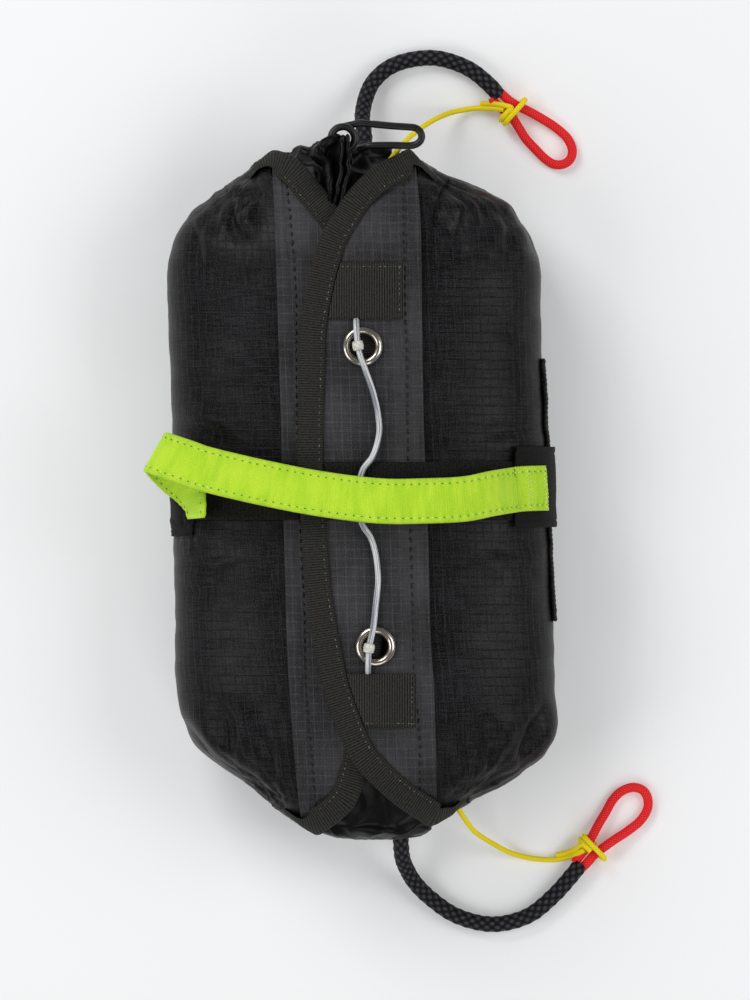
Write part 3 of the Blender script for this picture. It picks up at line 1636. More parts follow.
@dataclass
class Ropes:
    """Black ropes with red eye loops, thin yellow cords and yellow wraps."""

    wrap_turns: float = 1.5

    def eye_and_rope(self, side: str, rope: Points, eye: Points) -> None:
        """One black rope and the red loop that comes out of its end.

        Args:
            side: Which end of the pack.
            rope: The rope's route.
            eye: The loop's route, out of the rope's end and back to it.
        """
        route = Route(np.array(rope), ROPE.step)
        left = route.length[-1] - route.length
        taper = 1.0 - 0.12 * np.exp(-left / 1.2)
        black = ROPE.tube(f"{side}_braided_rope", route, (f"{side}_rope",), taper)
        loop = Route(np.array(eye), RED_CORD.step)
        red = RED_CORD.tube(f"{side}_red_loop", loop, (f"{side}_eye",))

    def build(self) -> None:
        """Build both ends' cords."""
        self.eye_and_rope("top", TOP_ROPE, TOP_EYE)
        self.eye_and_rope("bottom", BOTTOM_ROPE, BOTTOM_EYE)
        for (name, centre, direction, tail), cord in zip(KNOTS, (TOP_YELLOW, BOTTOM_YELLOW)):
            side = name.split("_")[0]
            route = Route(np.array(cord), YELLOW_CORD.step)
            wrap = Route(self.wrap_points(centre, direction, tail, LEADS[side]), YELLOW_CORD.step)
            knot = YELLOW_CORD.tube(f"{side}_yellow_wrap", wrap, (name,))
            thin = YELLOW_CORD.tube(f"{side}_thin_cord", route, (f"{side}_yellow_cord",))

    def wrap_points(self, centre: Sequence[float], direction: Sequence[float], tail: float,
                    lead: Sequence[Sequence[float]]) -> Points:
        """Oval turns round the two red strands.

        Args:
            centre: Middle of the neck.
            direction: Way along the neck.
            tail: 1 or -1, the side on which the turns start.
            lead: Points of the strand that comes in beside the thin cord.

        Returns:
            Points of the wrap.
        """
        along = np.array(direction) / np.linalg.norm(direction)
        side = np.cross((0.0, 0.0, 1.0), along)
        part = np.linspace(0.0, 1.0, 49)
        angle = 2.0 * np.pi * self.wrap_turns * part + 0.5 * np.pi
        line = np.array(centre) + np.outer(KNOT_PITCH * self.wrap_turns * (part - 0.5), along)
        line += np.outer(KNOT_HALF_WIDTH * signed_power(np.cos(angle), 0.72) * tail, side)
        line += np.outer(KNOT_HALF_HEIGHT * signed_power(np.sin(angle), 0.8), (0.0, 0.0, 1.0))
        return np.concatenate((np.array(lead), line))


@dataclass
class ClearLoop:
    """Clear cord over the flap and the beads that sit on it at the eyelets."""

    columns: int = 20
    bead_steps: int = 40

    def route(self) -> Route:
        """The cord's line over the flap.

        Returns:
            The curve of the cord.
        """
        x, y, rise = np.array(CLEAR_ROUTE).T
        lift = RIGHT_FACING[1] + rise + PACK.flap_lift(x, y)
        points = PACK.smooth_shell(y, PACK.angle_at(x, y, lift), lift)
        return Route(points, 0.9)

    def build(self) -> None:
        """Build the cord and its beads."""
        route = self.route()
        first, second = route.frames()
        turn = 2.0 * np.pi * np.arange(self.columns) / self.columns
        ring = 0.5 * CLEAR_DIAMETER * np.stack((np.cos(turn), np.sin(turn)), 1)
        rings = (route.line[:, None, :] + ring[None, :, :1] * first[:, None, :]
                 + ring[None, :, 1:] * second[:, None, :])
        shape = closed_tube(rings, math.pi * CLEAR_DIAMETER, route.length)
        line = finish_piece("clear_line", shape, CLEAR_LINE.make(), Slot.CLEAR, ("clear_cord",))
        along = route.tangents()
        for name, x, y in BEADS:
            k = int(np.argmin(np.hypot(route.line[:, 0] - x, route.line[:, 1] - y)))
            self.bead(name, route.line[k], along[k])
        route.centreline()

    def bead(self, name: str, place: Points, along: Points) -> bpy.types.Object:
        """A plastic bead turned round the cord.

        Args:
            name: The CAD node that it stands for.
            place: Its middle.
            along: Way through its bore.

        Returns:
            The finished bead.
        """
        bore = 0.5 * CLEAR_DIAMETER + 0.15
        half = 0.5 * BEAD_LENGTH
        bulge = [(BEAD_RADIUS - 0.55 * (1.0 - math.cos(t)), half * math.sin(t) * 0.94)
                 for t in np.linspace(-1.15, 1.15, 11)]
        profile = [(bore, -0.72 * half), (bore + 0.35, -0.98 * half), *bulge,
                   (bore + 0.35, 0.98 * half), (bore, 0.72 * half)]
        shape = turned_ring(profile, self.bead_steps, place, Vector(along))
        return finish_piece(f"{name}_turned", shape, BEAD_PLASTIC.make(), Slot.BEAD, (name,))


def turned_ring(profile: Sequence[tuple[float, float]], steps: int, place: Points,
                axis: Vector) -> bmesh.types.BMesh:
    """A ring turned from a closed profile of radius and height.

    Args:
        profile: Corners of the profile.
        steps: Faces round the ring.
        place: Its middle.
        axis: Its axis.

    Returns:
        The mesh, in millimetres.
    """
    shape = bmesh.new()
    corners = [shape.verts.new((radius, 0.0, height)) for radius, height in profile]
    edges = [shape.edges.new(pair) for pair in zip(corners, corners[1:] + corners[:1])]
    bmesh.ops.spin(shape, geom=corners + edges, axis=(0.0, 0.0, 1.0), cent=(0.0, 0.0, 0.0),
                   angle=2.0 * math.pi, steps=steps, use_merge=True)
    bmesh.ops.remove_doubles(shape, verts=shape.verts, dist=1e-4)
    bmesh.ops.recalc_face_normals(shape, faces=shape.faces)
    turn = Vector((0.0, 0.0, 1.0)).rotation_difference(axis).to_matrix()
    bmesh.ops.rotate(shape, verts=shape.verts, cent=(0.0, 0.0, 0.0), matrix=turn)
    bmesh.ops.translate(shape, verts=shape.verts, vec=Vector(place))
    return shape


@dataclass
class WireHook:
    """Black wire hook with a coiled eye, and the crumpled cloth loop that it hangs on."""

    columns: int = 22
    loop_rows: int = 110
    loop_columns: int = 36
    seam_x: float = 5.0

    def hook_points(self) -> Points:
        """The wire's line: the long loop, then the coiled eye.

        Returns:
            Points in millimetres.
        """
        route = [(x, y, HOOK_HEIGHT + z) for x, y, z in HOOK_ROUTE]
        turns = 26
        for k in range(1, turns + 1):
            part = k / turns
            angle = math.radians(EYE_START_DEGREES + 360.0 * EYE_TURNS * part)
            route.append((EYE_CENTRE[0] + EYE_RADIUS * math.cos(angle),
                          EYE_CENTRE[1] + EYE_RADIUS * math.sin(angle),
                          HOOK_HEIGHT + EYE_RISE * EYE_TURNS * part))
        return np.array(route)

    def wire(self) -> None:
        """Build the hook's wire, with rounded ends and the joint that shows on its top run."""
        route = Route(self.hook_points(), 0.6)
        first, second = route.frames()
        ends = np.minimum(route.length, route.length[-1] - route.length)
        radius = 0.5 * WIRE_DIAMETER * np.sqrt(np.clip(1.0 - (1.0 - ends / 1.6) ** 2, 0.05, 1.0)
                                               * (ends < 1.6) + (ends >= 1.6))
        top_run = route.line[:, 1] > 203.0
        joint = np.exp(-((route.line[:, 0] - self.seam_x) / 0.5) ** 2) * top_run
        radius = radius - 0.16 * joint
        turn = 2.0 * np.pi * np.arange(self.columns) / self.columns
        c = (radius[:, None] * np.cos(turn))[..., None]
        s = (radius[:, None] * np.sin(turn))[..., None]
        rings = route.line[:, None, :] + c * first[:, None, :] + s * second[:, None, :]
        shape = closed_tube(rings, math.pi * WIRE_DIAMETER, route.length)
        finish_piece("hook_wire", shape, WIRE_COAT.make(), Slot.WIRE, ("hook",))

    def loop(self) -> None:
        """Build the cloth loop: narrow in the eye, pleated and wide where it leaves the bag."""
        route = Route(np.array(LOOP_ROUTE), 0.5)
        along = route.tangents()
        eye = int(np.argmin(np.linalg.norm(route.line - (-10.6, 197.0, 69.0), axis=1)))

        def lay(across: Points, part: Points) -> Points:
            """Points of the loop's cloth.

            Args:
                across: Share across the cloth.
                part: Share along the route.

            Returns:
                Points in millimetres.
            """
            places = [np.interp(part * route.length[-1], route.length, route.line[:, k])
                      for k in range(3)]
            centre = np.stack(places, 1)
            ahead = np.stack([np.interp(part * route.length[-1], route.length, along[:, k])
                              for k in range(3)], 1)
            side = np.array((1.0, 0.0, 0.0))
            up = np.cross(ahead, side)
            up /= np.linalg.norm(up, axis=1, keepdims=True)
            from_eye = np.abs(part * route.length[-1] - route.length[eye])
            away, left, right = np.array(LOOP_WIDTHS).T
            t = 2.0 * across - 1.0
            wide = np.where(t < 0.0, np.interp(from_eye, away, left), np.interp(from_eye, away, right))
            pleat = np.sin(2.6 * np.pi * t + 0.05 * from_eye) * (0.6 + 0.15 * from_eye)
            fine = 0.5 * np.sin(6.3 * np.pi * t + 0.22 * from_eye)
            rise = np.clip(pleat + fine, -4.2, 4.2)
            lean = -1.6 * np.exp(-(((from_eye - 15.0) / 8.0) ** 2))
            points = centre + np.outer(t * wide + lean, side) + up * rise[:, None]
            fold = np.abs(cloth_noise(points, (6.0, 9.0, 6.0), 21.0))
            crumple = 1.6 * cloth_noise(points, (11.0, 9.0, 11.0), 27.0)
            slip = cloth_noise(points, (8.0, 6.0, 8.0), 33.0)
            strength = smooth_step((from_eye - 4.0) / 8.0)
            return (points + up * ((crumple - 2.2 * np.clip(0.4 - fold, 0.0, 1.0)) * strength)[:, None]
                    + np.outer(1.6 * slip * strength, side))

        def weave(across: Points, part: Points) -> Points:
            """The cloth's own millimetres across and along."""
            return np.stack((20.0 * across, route.length[-1] * part), 1)

        shape = laid_grid(self.loop_columns, self.loop_rows, lay, weave)
        bmesh.ops.recalc_face_normals(shape, faces=shape.faces)
        made = finish_piece("cloth_loop", shape, CRUMPLED.make(), Slot.CRUMPLED, ("hook_loop",))
        thicken(made, 0.9)

    def build(self) -> None:
        """Build the hook and its loop."""
        self.wire()
        self.loop()


def arc_map(surface: Lay, columns: int, rows: int) -> Lay:
    """Cloth map of a form: distances across from the last column, and along from the middle.

    Args:
        surface: Gives points of the form without folds, in millimetres.
        columns: Steps across.
        rows: Steps along.

    Returns:
        A function from shares across and along to the cloth's own millimetres.
    """
    u, v = np.meshgrid(np.linspace(0.0, 1.0, columns + 1), np.linspace(0.0, 1.0, rows + 1))
    grid = surface(u.ravel(), v.ravel()).reshape(rows + 1, columns + 1, 3)
    across = np.linalg.norm(np.diff(grid, axis=1), axis=2)
    along = np.linalg.norm(np.diff(grid, axis=0), axis=2)
    sign = -1.0 if grid[rows // 2, 0, 0] < grid[rows // 2, -1, 0] else 1.0
    total = np.cumsum(across, axis=1)
    from_last = total[:, -1:] - np.concatenate((np.zeros((rows + 1, 1)), total), axis=1)
    places_u = grid[:, -1:, 0] + sign * from_last
    travel = np.concatenate((np.zeros((1, columns + 1)), np.cumsum(along, axis=0)))
    middle = int(np.argmin(np.abs(grid[:, -1, 1])))
    places_v = travel - travel[middle]

    def cloth(share_u: Points, share_v: Points) -> Points:
        """Cloth places of shares across and along.

        Args:
            share_u: Shares across.
            share_v: Shares along.

        Returns:
            The cloth's own millimetres across and along.
        """
        j = np.rint(share_u * columns).astype(int)
        i = np.rint(share_v * rows).astype(int)
        return np.stack((places_u[i, j], places_v[i, j]), 1)

    return cloth


def slant_length(edge: Track, y: Points) -> Points:
    """Length of a flap's free edge for each unit along the pack."""
    return np.hypot(1.0, edge.slant(y))


def edge_x(edge: Track, y: Points, inward: float, distance: float) -> Points:
    """Place a distance inside a flap's free edge; inward is 1 to the right, -1 to the left."""
    return edge.at(y) + inward * distance * slant_length(edge, y)


# Where each tape turns at its end and runs on along the mouth: outer and inner edge.
TAPE_TURNS = {
    ("left", 1): ((-49.2, 190.3, -50.0, 180.6), (-53.6, 188.2, -52.6, 181.8),
                  (-58.0, 184.4, -56.4, 180.8), (-62.0, 181.0, -60.4, 178.4),
                  (-67.0, 176.4, -65.0, 174.2)),
    ("left", -1): ((-25.6, -187.6, -29.4, -176.6), (-29.6, -186.0, -31.6, -178.4),
                   (-33.8, -183.6, -34.2, -179.0), (-38.0, -180.4, -37.6, -177.6),
                   (-44.6, -175.2, -43.6, -173.4)),
    ("right", 1): ((26.8, 190.8, 28.4, 182.2), (30.4, 187.6, 30.8, 182.0),
                   (34.0, 183.6, 33.4, 180.6), (38.0, 179.6, 37.0, 177.2),
                   (43.0, 174.6, 42.0, 173.0)),
    ("right", -1): ((40.6, -182.2, 43.6, -173.2), (45.6, -179.8, 46.6, -172.8),
                    (51.2, -176.4, 51.0, -172.4), (56.4, -171.2, 55.6, -169.4)),
}


@dataclass(frozen=True)
class Flap:
    """One side of the bag: its edge, seam and layers."""

    side: str
    edge: Track
    seam: Track
    inward: float
    layer: tuple[float, float]
    panel_rows: tuple[float, float]
    facing_rows: tuple[float, float]
    binding_rows: tuple[float, float]
    stitch_line: tuple[tuple[float, float], ...]

    def lift(self, x: Points, y: Points) -> Points:
        """How far the flap stands off its own layer height."""
        return PACK.tip_lift(y) if self.inward < 0.0 else PACK.flap_lift(x, y)


LEFT_FLAP = Flap(
    "left", LEFT_FLAP_EDGE, LEFT_FACING_SEAM, -1.0, LEFT_FACING,
    (-186.0, 190.0), (-184.0, 187.5), (-185.4, 187.8),
    ((-180.0, -25.6), (-173.3, -26.1), (-159.4, -27.2), (-132.8, -29.4), (-100.6, -31.7), (-67.8, -32.2),
     (-20.0, -34.4), (27.8, -36.1), (70.6, -36.7), (109.4, -36.7), (135.0, -38.3),
     (160.6, -40.6), (171.7, -42.2)))
RIGHT_FLAP = Flap(
    "right", RIGHT_FLAP_EDGE, RIGHT_FACING_SEAM, 1.0, RIGHT_FACING,
    (-182.5, 189.5), (-180.0, 187.5), (-181.6, 188.8),
    ((-163.3, 32.8), (-130.6, 32.2), (-104.4, 29.4), (-67.8, 28.3), (-25.0, 27.2),
     (27.8, 25.6), (81.1, 25.0), (98.9, 24.4), (141.7, 23.9), (176.7, 23.3)))


@dataclass
class Stitches:
    """Rows of small thread stitches on the cloth."""

    length: float = 2.3
    width: float = 0.55
    rise: float = 0.12

    def row(self, shape: bmesh.types.BMesh, lay: Callable[[Points], Points], start: float,
            stop: float, pitch: float, jitter: float = 0.12) -> None:
        """Sew one row on the front of the pack.

        Args:
            shape: Mesh that takes the stitches.
            lay: Gives points of the row, in millimetres, from places along it.
            start: First place.
            stop: Last place.
            pitch: Distance from one stitch to the next.
            jitter: How unevenly the stitches turn.
        """
        fine = np.linspace(start, stop, 900)
        line = lay(fine)
        travel = travelled(line)
        wanted = np.arange(0.5 * pitch, travel[-1], pitch)
        places = np.stack([np.interp(wanted, travel, line[:, k]) for k in range(3)], 1)
        ahead = np.gradient(line, axis=0)
        along = np.stack([np.interp(wanted, travel, ahead[:, k]) for k in range(3)], 1)
        for k, (place, way) in enumerate(zip(places, along)):
            turn = jitter * math.sin(2.1 * k) + 0.5 * jitter * math.sin(5.3 * k + 1.0)
            self.sew(shape, Vector(place), Vector(way), turn, 1.0 + 0.12 * math.sin(3.7 * k))

    def sew(self, shape: bmesh.types.BMesh, place: Vector, way: Vector, turn: float = 0.0,
            size: float = 1.0) -> None:
        """Add one stitch along a way.

        Args:
            shape: Mesh that takes the stitch.
            place: Middle of the stitch.
            way: Way that it points.
            turn: Angle that it is turned by.
            size: Share of the full length.
        """
        x_axis = way.normalized()
        side = Vector((0.0, 0.0, 1.0)).cross(x_axis).normalized()
        up = x_axis.cross(side)
        axes = Matrix((x_axis, side, up)).transposed().to_4x4()
        scale = Matrix.Diagonal((0.5 * self.length * size, 0.5 * self.width, 0.5 * self.width, 1.0))
        spot = Matrix.Translation(place + up * self.rise)
        turned = Matrix.Rotation(turn, 4, "Z")
        bmesh.ops.create_uvsphere(shape, u_segments=7, v_segments=4, radius=1.0,
                                  matrix=spot @ axes @ turned @ scale)


@dataclass
class FilledCore:
    """The folded canopy in its inner bag, crumpled where it shows in the bag's mouths."""

    columns: int = 240
    rows: int = 140
    cap_rows: int = 24
    crumple: float = 4.0

    def crumpled(self, points: Points, reach: Points) -> Points:
        """Depth of the crumples at points, where reach is 0 to 1 towards the mouths.

        Args:
            points: Points of the core.
            reach: Share of the full depth.

        Returns:
            Depth at each point, in millimetres.
        """
        flat = points.reshape(-1, 3)
        warp = 2.4 * cloth_noise(flat, (16.0, 16.0, 16.0), 2.0)
        moved = flat + np.stack((warp, 0.6 * warp, -warp), 1)
        broad = 1.0 - np.abs(cloth_noise(moved, (12.0, 20.0, 12.0), 5.0)) * 2.4
        fine = 1.0 - np.abs(cloth_noise(moved, (5.0, 9.0, 5.0), 8.0)) * 2.2
        depth = self.crumple * (1.0 - np.clip(broad, 0.0, 1.0)) + 0.5 * (1.0 - np.clip(fine, 0.0, 1.0))
        calmer = np.where(points[..., 1] > 0.0, 1.0, 0.35)
        return depth.reshape(points.shape[:-1]) * reach * calmer

    def build(self) -> None:
        """Build the core."""
        angle = 2.0 * np.pi * np.arange(self.columns) / self.columns
        y = rows_along(-184.0, 190.5, np.linspace(0.0, 1.0, self.rows))
        sunk = np.where(y > 0.0, 1.6, 0.5)
        level = CORE * (1.0 + sunk * smooth_step((np.abs(y) - 150.0) / 20.0))
        body = PACK.shell(y[:, None], angle[None, :], level[:, None])
        spread = 7.0 * smooth_step((-170.0 - y) / 14.0)
        body[..., 0] += spread[:, None] * np.clip(body[..., 0] / 30.0, 0.0, 1.0)
        body[..., 2] = np.maximum(body[..., 2], PANEL[0] + 0.3)
        rings = np.concatenate((self.cap(body[0], -1.0)[::-1], body, self.cap(body[-1], 1.0)))
        centre = np.array((0.0, 0.0, 1.0)) * 48.0
        reach = smooth_step((np.abs(rings[..., 1]) - 128.0) / 34.0)
        outward = rings - (centre + rings * np.array((0.0, 0.86, 0.0)))
        outward /= np.linalg.norm(outward, axis=-1, keepdims=True)
        rings = rings - outward * self.crumpled(rings, reach)[..., None]
        travel = travelled(rings[:, self.columns // 4])
        shape = closed_tube(rings, 300.0, travel)
        core = finish_piece("crumpled_core", shape, CRUMPLED.make(), Slot.CRUMPLED, ("inner_pack",))

    def cap(self, rim: Points, way: float) -> Points:
        """Rings that close one mouth with bunched cloth.

        Args:
            rim: The last ring of the body.
            way: 1 at the top mouth, -1 at the bottom one.

        Returns:
            Rings from the rim to a small hole.
        """
        middle = rim.mean(axis=0)
        part = np.linspace(0.0, 1.0, self.cap_rows + 1)[1:, None]
        turn = 2.0 * np.pi * np.arange(self.columns)[None, :] / self.columns
        scale = np.cos(0.5 * np.pi * 0.985 * part) ** 0.75
        scale = scale * (1.0 + 0.06 * np.sin(5.0 * turn + 3.0 * part) * np.sin(np.pi * part))
        rings = middle + (rim - middle)[None] * scale[..., None]
        high, uneven = (5.4, 0.20) if way > 0.0 else (7.2, 0.0)
        bulge = high * np.sin(0.5 * np.pi * part) * (1.0 + uneven * np.sin(4.0 * turn + 1.3))
        rings[..., 1] = middle[1] + way * bulge
        return rings


@dataclass
class BagCloth:
    """The two ripstop panels, from the back seam round each side to the front."""

    columns: int = 130
    rows: int = 165
    thickness: float = 1.3
    lap: float = FACING_LAP

    def panel_end(self, flap: Flap, y: Points) -> Points:
        """Place where a panel ends, under its facing.

        Args:
            flap: The flap that it belongs to.
            y: Places along the pack.

        Returns:
            Places across the pack.
        """
        narrow = 1.0 - 0.8 * smooth_step((np.abs(y) - 165.0) / 15.0)
        lap = flap.seam.at(y) - flap.inward * self.lap * narrow
        clear = flap.edge.at(y) + 1.5 * flap.inward
        return np.maximum(lap, clear) if flap.inward > 0.0 else np.minimum(lap, clear)

    def panel(self, flap: Flap) -> None:
        """Build one panel.

        Args:
            flap: The flap that it belongs to.
        """
        low, high = flap.panel_rows
        back = BACK_SEAM_X + flap.inward * 0.5 * BACK_SEAM_GAP

        def place(u: Points, v: Points) -> tuple[Points, Points]:
            """Where shares of the panel lie.

            Args:
                u: Share across the piece.
                v: Share along the pack.

            Returns:
                Places along the pack and angles round it.
            """
            y = rows_along(low, high, v)
            first = PACK.base_angle(back, y) - (2.0 * np.pi if flap.inward > 0.0 else 0.0)
            last = PACK.angle_at(self.panel_end(flap, y), y)
            return y, first + (last - first) * u

        def lay(u: Points, v: Points) -> Points:
            """Points of the panel with its folds.

            Args:
                u: Share across the piece.
                v: Share along the pack.

            Returns:
                Points in millimetres.
            """
            y, angle = place(u, v)
            curl = np.clip(1.0 - np.minimum(y - low, high - y) / 5.0, 0.0, 1.0) ** 2
            swell = 1.2 * smooth_step((np.abs(y) - 164.0) / 10.0)
            return PACK.shell(y, angle, PANEL[1] + swell - 4.5 * curl)

        def smooth(u: Points, v: Points) -> Points:
            """Points of the panel without its folds."""
            return PACK.smooth_shell(*place(u, v), PANEL[1])

        shape = laid_grid(self.columns, self.rows, lay, arc_map(smooth, self.columns, self.rows))
        face_outwards(shape, Vector((flap.inward, 0.0, 0.0)))
        name = f"{flap.side}_bag_cloth"
        made = finish_piece(name, shape, RIPSTOP.make(), Slot.RIPSTOP, (f"{flap.side}_panel",))
        thicken(made, self.thickness)

    def build(self) -> None:
        """Build both panels."""
        self.panel(LEFT_FLAP)
        self.panel(RIGHT_FLAP)


@dataclass
class FrontStrips:
    """Facings, bindings and their stitch lines along the front edges."""

    facing_columns: int = 50
    facing_rows: int = 240
    binding_rows: int = 900
    rib_pitch: float = 1.4
    rib_height: float = 0.15
    tape_pitch: float = 3.7
    stitch_pitch: float = 5.0
    tape_seam: float = 11.4

    def tape_loose(self, y: Points) -> Points:
        """How far the tape stands off near the flap's tips."""
        return 1.5 * smooth_step((np.abs(y) - 158.0) / 12.0)

    def stitch_x(self, flap: Flap, y: Points) -> Points:
        """Place of the facing's stitch line."""
        return Track(table(flap.stitch_line), 1).at(y)

    def facing(self, flap: Flap) -> None:
        """Build a facing, with its stitched channel and the eyelets' holes.

        Args:
            flap: The flap that it belongs to.
        """
        low, high = flap.facing_rows

        def place(u: Points, v: Points) -> tuple[Points, Points]:
            """Where shares of the facing lie.

            Args:
                u: Share across the piece.
                v: Share along the pack.

            Returns:
                Places across and along the pack.
            """
            y = rows_along(low, high, v)
            seam = flap.seam.at(y)
            edge = flap.edge.at(y)
            inner = np.minimum(2.6 * slant_length(flap.edge, y), 0.4 * np.abs(seam - edge))
            return seam + (edge + flap.inward * inner - seam) * u, y

        def lay(u: Points, v: Points) -> Points:
            """Points of the facing.

            Args:
                u: Share across the piece.
                v: Share along the pack.

            Returns:
                Points in millimetres.
            """
            x, y = place(u, v)
            away = x - self.stitch_x(flap, y)
            channel = 0.4 * np.exp(-((away / 1.1) ** 2))
            channel += 0.5 * np.exp(-(((away - 1.9 * flap.inward) / 0.5) ** 2))
            channel -= 0.5 * np.exp(-(((x - flap.seam.at(y)) / 1.1) ** 2))
            pucker = 0.22 * np.sin(2.0 * np.pi * y / 7.0) * np.exp(-((away / 5.0) ** 2))
            rest = PACK.smooth_shell(y, PACK.angle_at(x, y), 0.0)
            wave = 0.55 * cloth_noise(rest, (12.0, 34.0, 20.0), 14.0)
            wave *= smooth_step(np.minimum(u, 1.0 - u) / 0.2)
            curl = np.clip(1.0 - np.minimum(y - low, high - y) / 5.0, 0.0, 1.0) ** 2
            lift = flap.layer[1] + flap.lift(x, y) - channel + pucker + wave - 3.5 * curl
            return PACK.front(x, y, lift)

        def weave(u: Points, v: Points) -> Points:
            """The facing's own millimetres, a little askew to the pack."""
            x, y = place(u, v)
            return np.stack((x + 0.03 * y, y), 1)

        columns = self.facing_columns if flap.inward > 0.0 else self.facing_columns // 2 + 12
        shape = laid_grid(columns, self.facing_rows, lay, weave)
        face_outwards(shape, Vector((0.0, 0.0, 1.0)))
        if flap.inward > 0.0:
            holes = [face for face in shape.faces if self.in_hole(face.calc_center_median())]
            bmesh.ops.delete(shape, geom=holes, context="FACES")
        name = f"{flap.side}_front_strip"
        made = finish_piece(name, shape, FACING.make(), Slot.FACING, (f"{flap.side}_facing",))
        thicken(made, 1.2)

    def in_hole(self, place: Vector) -> bool:
        """Whether a place lies in an eyelet's hole."""
        return any(math.hypot(place.x - x, place.y - y) < FACING_HOLE + 0.4
                   for _, x, y in EYELETS)

    def binding(self, flap: Flap) -> None:
        """Build the ribbed tape folded round a flap's edge.

        Args:
            flap: The flap that it belongs to.
        """
        low, high = flap.binding_rows
        over = flap.layer[1] + LAYER_GAP
        under = flap.layer[0] - LAYER_GAP
        middle = 0.5 * (over + under)
        leg = BINDING_LEG
        fold = [(-0.2 - 0.6 * math.cos(t), middle + (over + 0.7 * leg - middle) * math.sin(t))
                for t in np.linspace(1.2, -1.2, 5)]
        corners = [(BINDING_WIDTH, over), (BINDING_WIDTH + 0.2, over + 0.5 * leg),
                   (BINDING_WIDTH - 0.2, over + leg)]
        corners += [(d, over + leg + 0.25 * math.sin(math.pi * d / BINDING_WIDTH))
                    for d in np.linspace(BINDING_WIDTH - 1.2, 0.6, 7)]
        corners += fold
        corners += [(0.5, under - leg), (3.0, under - leg), (6.0, under - leg), (6.0, under),
                    (0.7, under), (0.7, over), (7.0, over)]
        distance, level = np.array(corners).T
        outside = (level >= over + 0.4 * leg).astype(float)
        y = rows_along(low, high, np.linspace(0.0, 1.0, self.binding_rows))[:, None]
        slope = flap.edge.slant(y)
        length = np.hypot(1.0, slope)
        x = flap.edge.at(y) + flap.inward / length * distance
        place = y - flap.inward * slope / length * distance
        x, place = self.turned(flap, x, place, distance)
        y = place[:, :1]
        middle_line = 0.5 * (np.stack((x[:, 0], place[:, 0])) + np.stack((x[:, -1], place[:, -1])))
        travel = np.concatenate(((0.0,), np.cumsum(np.hypot(*np.diff(middle_line)))))
        past = smooth_step(flap.inward * (x - flap.seam.at(place)) / 7.0)
        loose = self.tape_loose(y) * (1.0 - past)
        rib = 1.0 - np.abs(((travel / self.rib_pitch) % 1.0) * 2.0 - 1.0)[:, None]
        raised = self.rib_height * smooth_step(rib * 1.3) * outside
        seam = 0.35 * np.exp(-(((distance - self.tape_seam) / 0.9) ** 2)) * outside
        level = level + np.where(level > middle, loose, -loose) + raised - seam
        level = level - (flap.layer[0] - LEFT_FACING[0]) * past
        rings = PACK.front(x, place, level + flap.lift(x, place) * (1.0 - past))
        from_end = np.minimum(travel, travel[-1] - travel)
        rings[..., 2] -= (6.0 * np.clip(1.0 - from_end / 8.0, 0.0, 1.0) ** 2)[:, None]
        shape = closed_tube(rings, 34.0, travel)
        finish_piece(f"{flap.side}_edge_tape", shape, TAPE.make(), Slot.TAPE,
                     (f"{flap.side}_binding",))

    def turned(self, flap: Flap, x: Points, y: Points, distance: Points) -> tuple[Points, Points]:
        """Add the rows that turn at both ends of a tape and run on along the mouth.

        Args:
            flap: The tape's flap.
            x: Places across the pack of the tape's rows.
            y: Places along the pack of the tape's rows.
            distance: Distance of each point of a row from the tape's outer edge.

        Returns:
            Places across and along the pack of all rows.
        """
        share = distance / BINDING_WIDTH
        for way in (-1, 1):
            row = 0 if way < 0 else -1
            outer = int(np.argmin(np.abs(distance)))
            inner = int(np.argmax(distance))
            first = (x[row, outer], y[row, outer], x[row, inner], y[row, inner])
            points = Route.catmull(np.array((first, *TAPE_TURNS[flap.side, way])), 14)[1:]
            more_x = points[:, :1] + (points[:, 2:3] - points[:, :1]) * share
            more_y = points[:, 1:2] + (points[:, 3:4] - points[:, 1:2]) * share
            parts_x = (more_x[::-1], x) if way < 0 else (x, more_x)
            parts_y = (more_y[::-1], y) if way < 0 else (y, more_y)
            x = np.concatenate(parts_x)
            y = np.concatenate(parts_y)
        return x, y

    def stitching(self, flap: Flap) -> None:
        """Sew the facing's channel and the tape's inner edge.

        Args:
            flap: The flap that it belongs to.
        """
        needle = Stitches(3.0, 1.3, 0.12)
        shape = bmesh.new()
        top = flap.layer[1]

        def channel(y: Points) -> Points:
            """Points of the channel's stitch line."""
            x = self.stitch_x(flap, y)
            return PACK.front(x, y, top + flap.lift(x, y) + 0.2)

        low, high = flap.facing_rows
        needle.row(shape, channel, low + 4.0, high - 6.0, self.stitch_pitch, 0.3)
        finish_piece(f"{flap.side}_channel_stitches", shape, BLACK_THREAD.make(), Slot.FACING)
        shape = bmesh.new()

        def hem(y: Points) -> Points:
            """Points of the tape's stitch line.

            Args:
                y: Places along the pack.

            Returns:
                Points in millimetres.
            """
            slope = flap.edge.slant(y)
            length = np.hypot(1.0, slope)
            x = flap.edge.at(y) + flap.inward / length * self.tape_seam
            place = y - flap.inward * slope / length * self.tape_seam
            loose = self.tape_loose(y)
            lift = top + LAYER_GAP + BINDING_LEG + loose + flap.lift(x, place) - 0.05
            return PACK.front(x, place, lift)

        needle = Stitches(1.7, 0.6)
        low, high = flap.binding_rows
        needle.row(shape, hem, low + 2.0, high - 2.0, self.tape_pitch, 0.4)
        finish_piece(f"{flap.side}_tape_stitches", shape, TAPE_THREAD.make(), Slot.TAPE)

    def build(self) -> None:
        """Build the strips of both flaps."""
        for flap in (LEFT_FLAP, RIGHT_FLAP):
            self.facing(flap)
            self.binding(flap)
            self.stitching(flap)


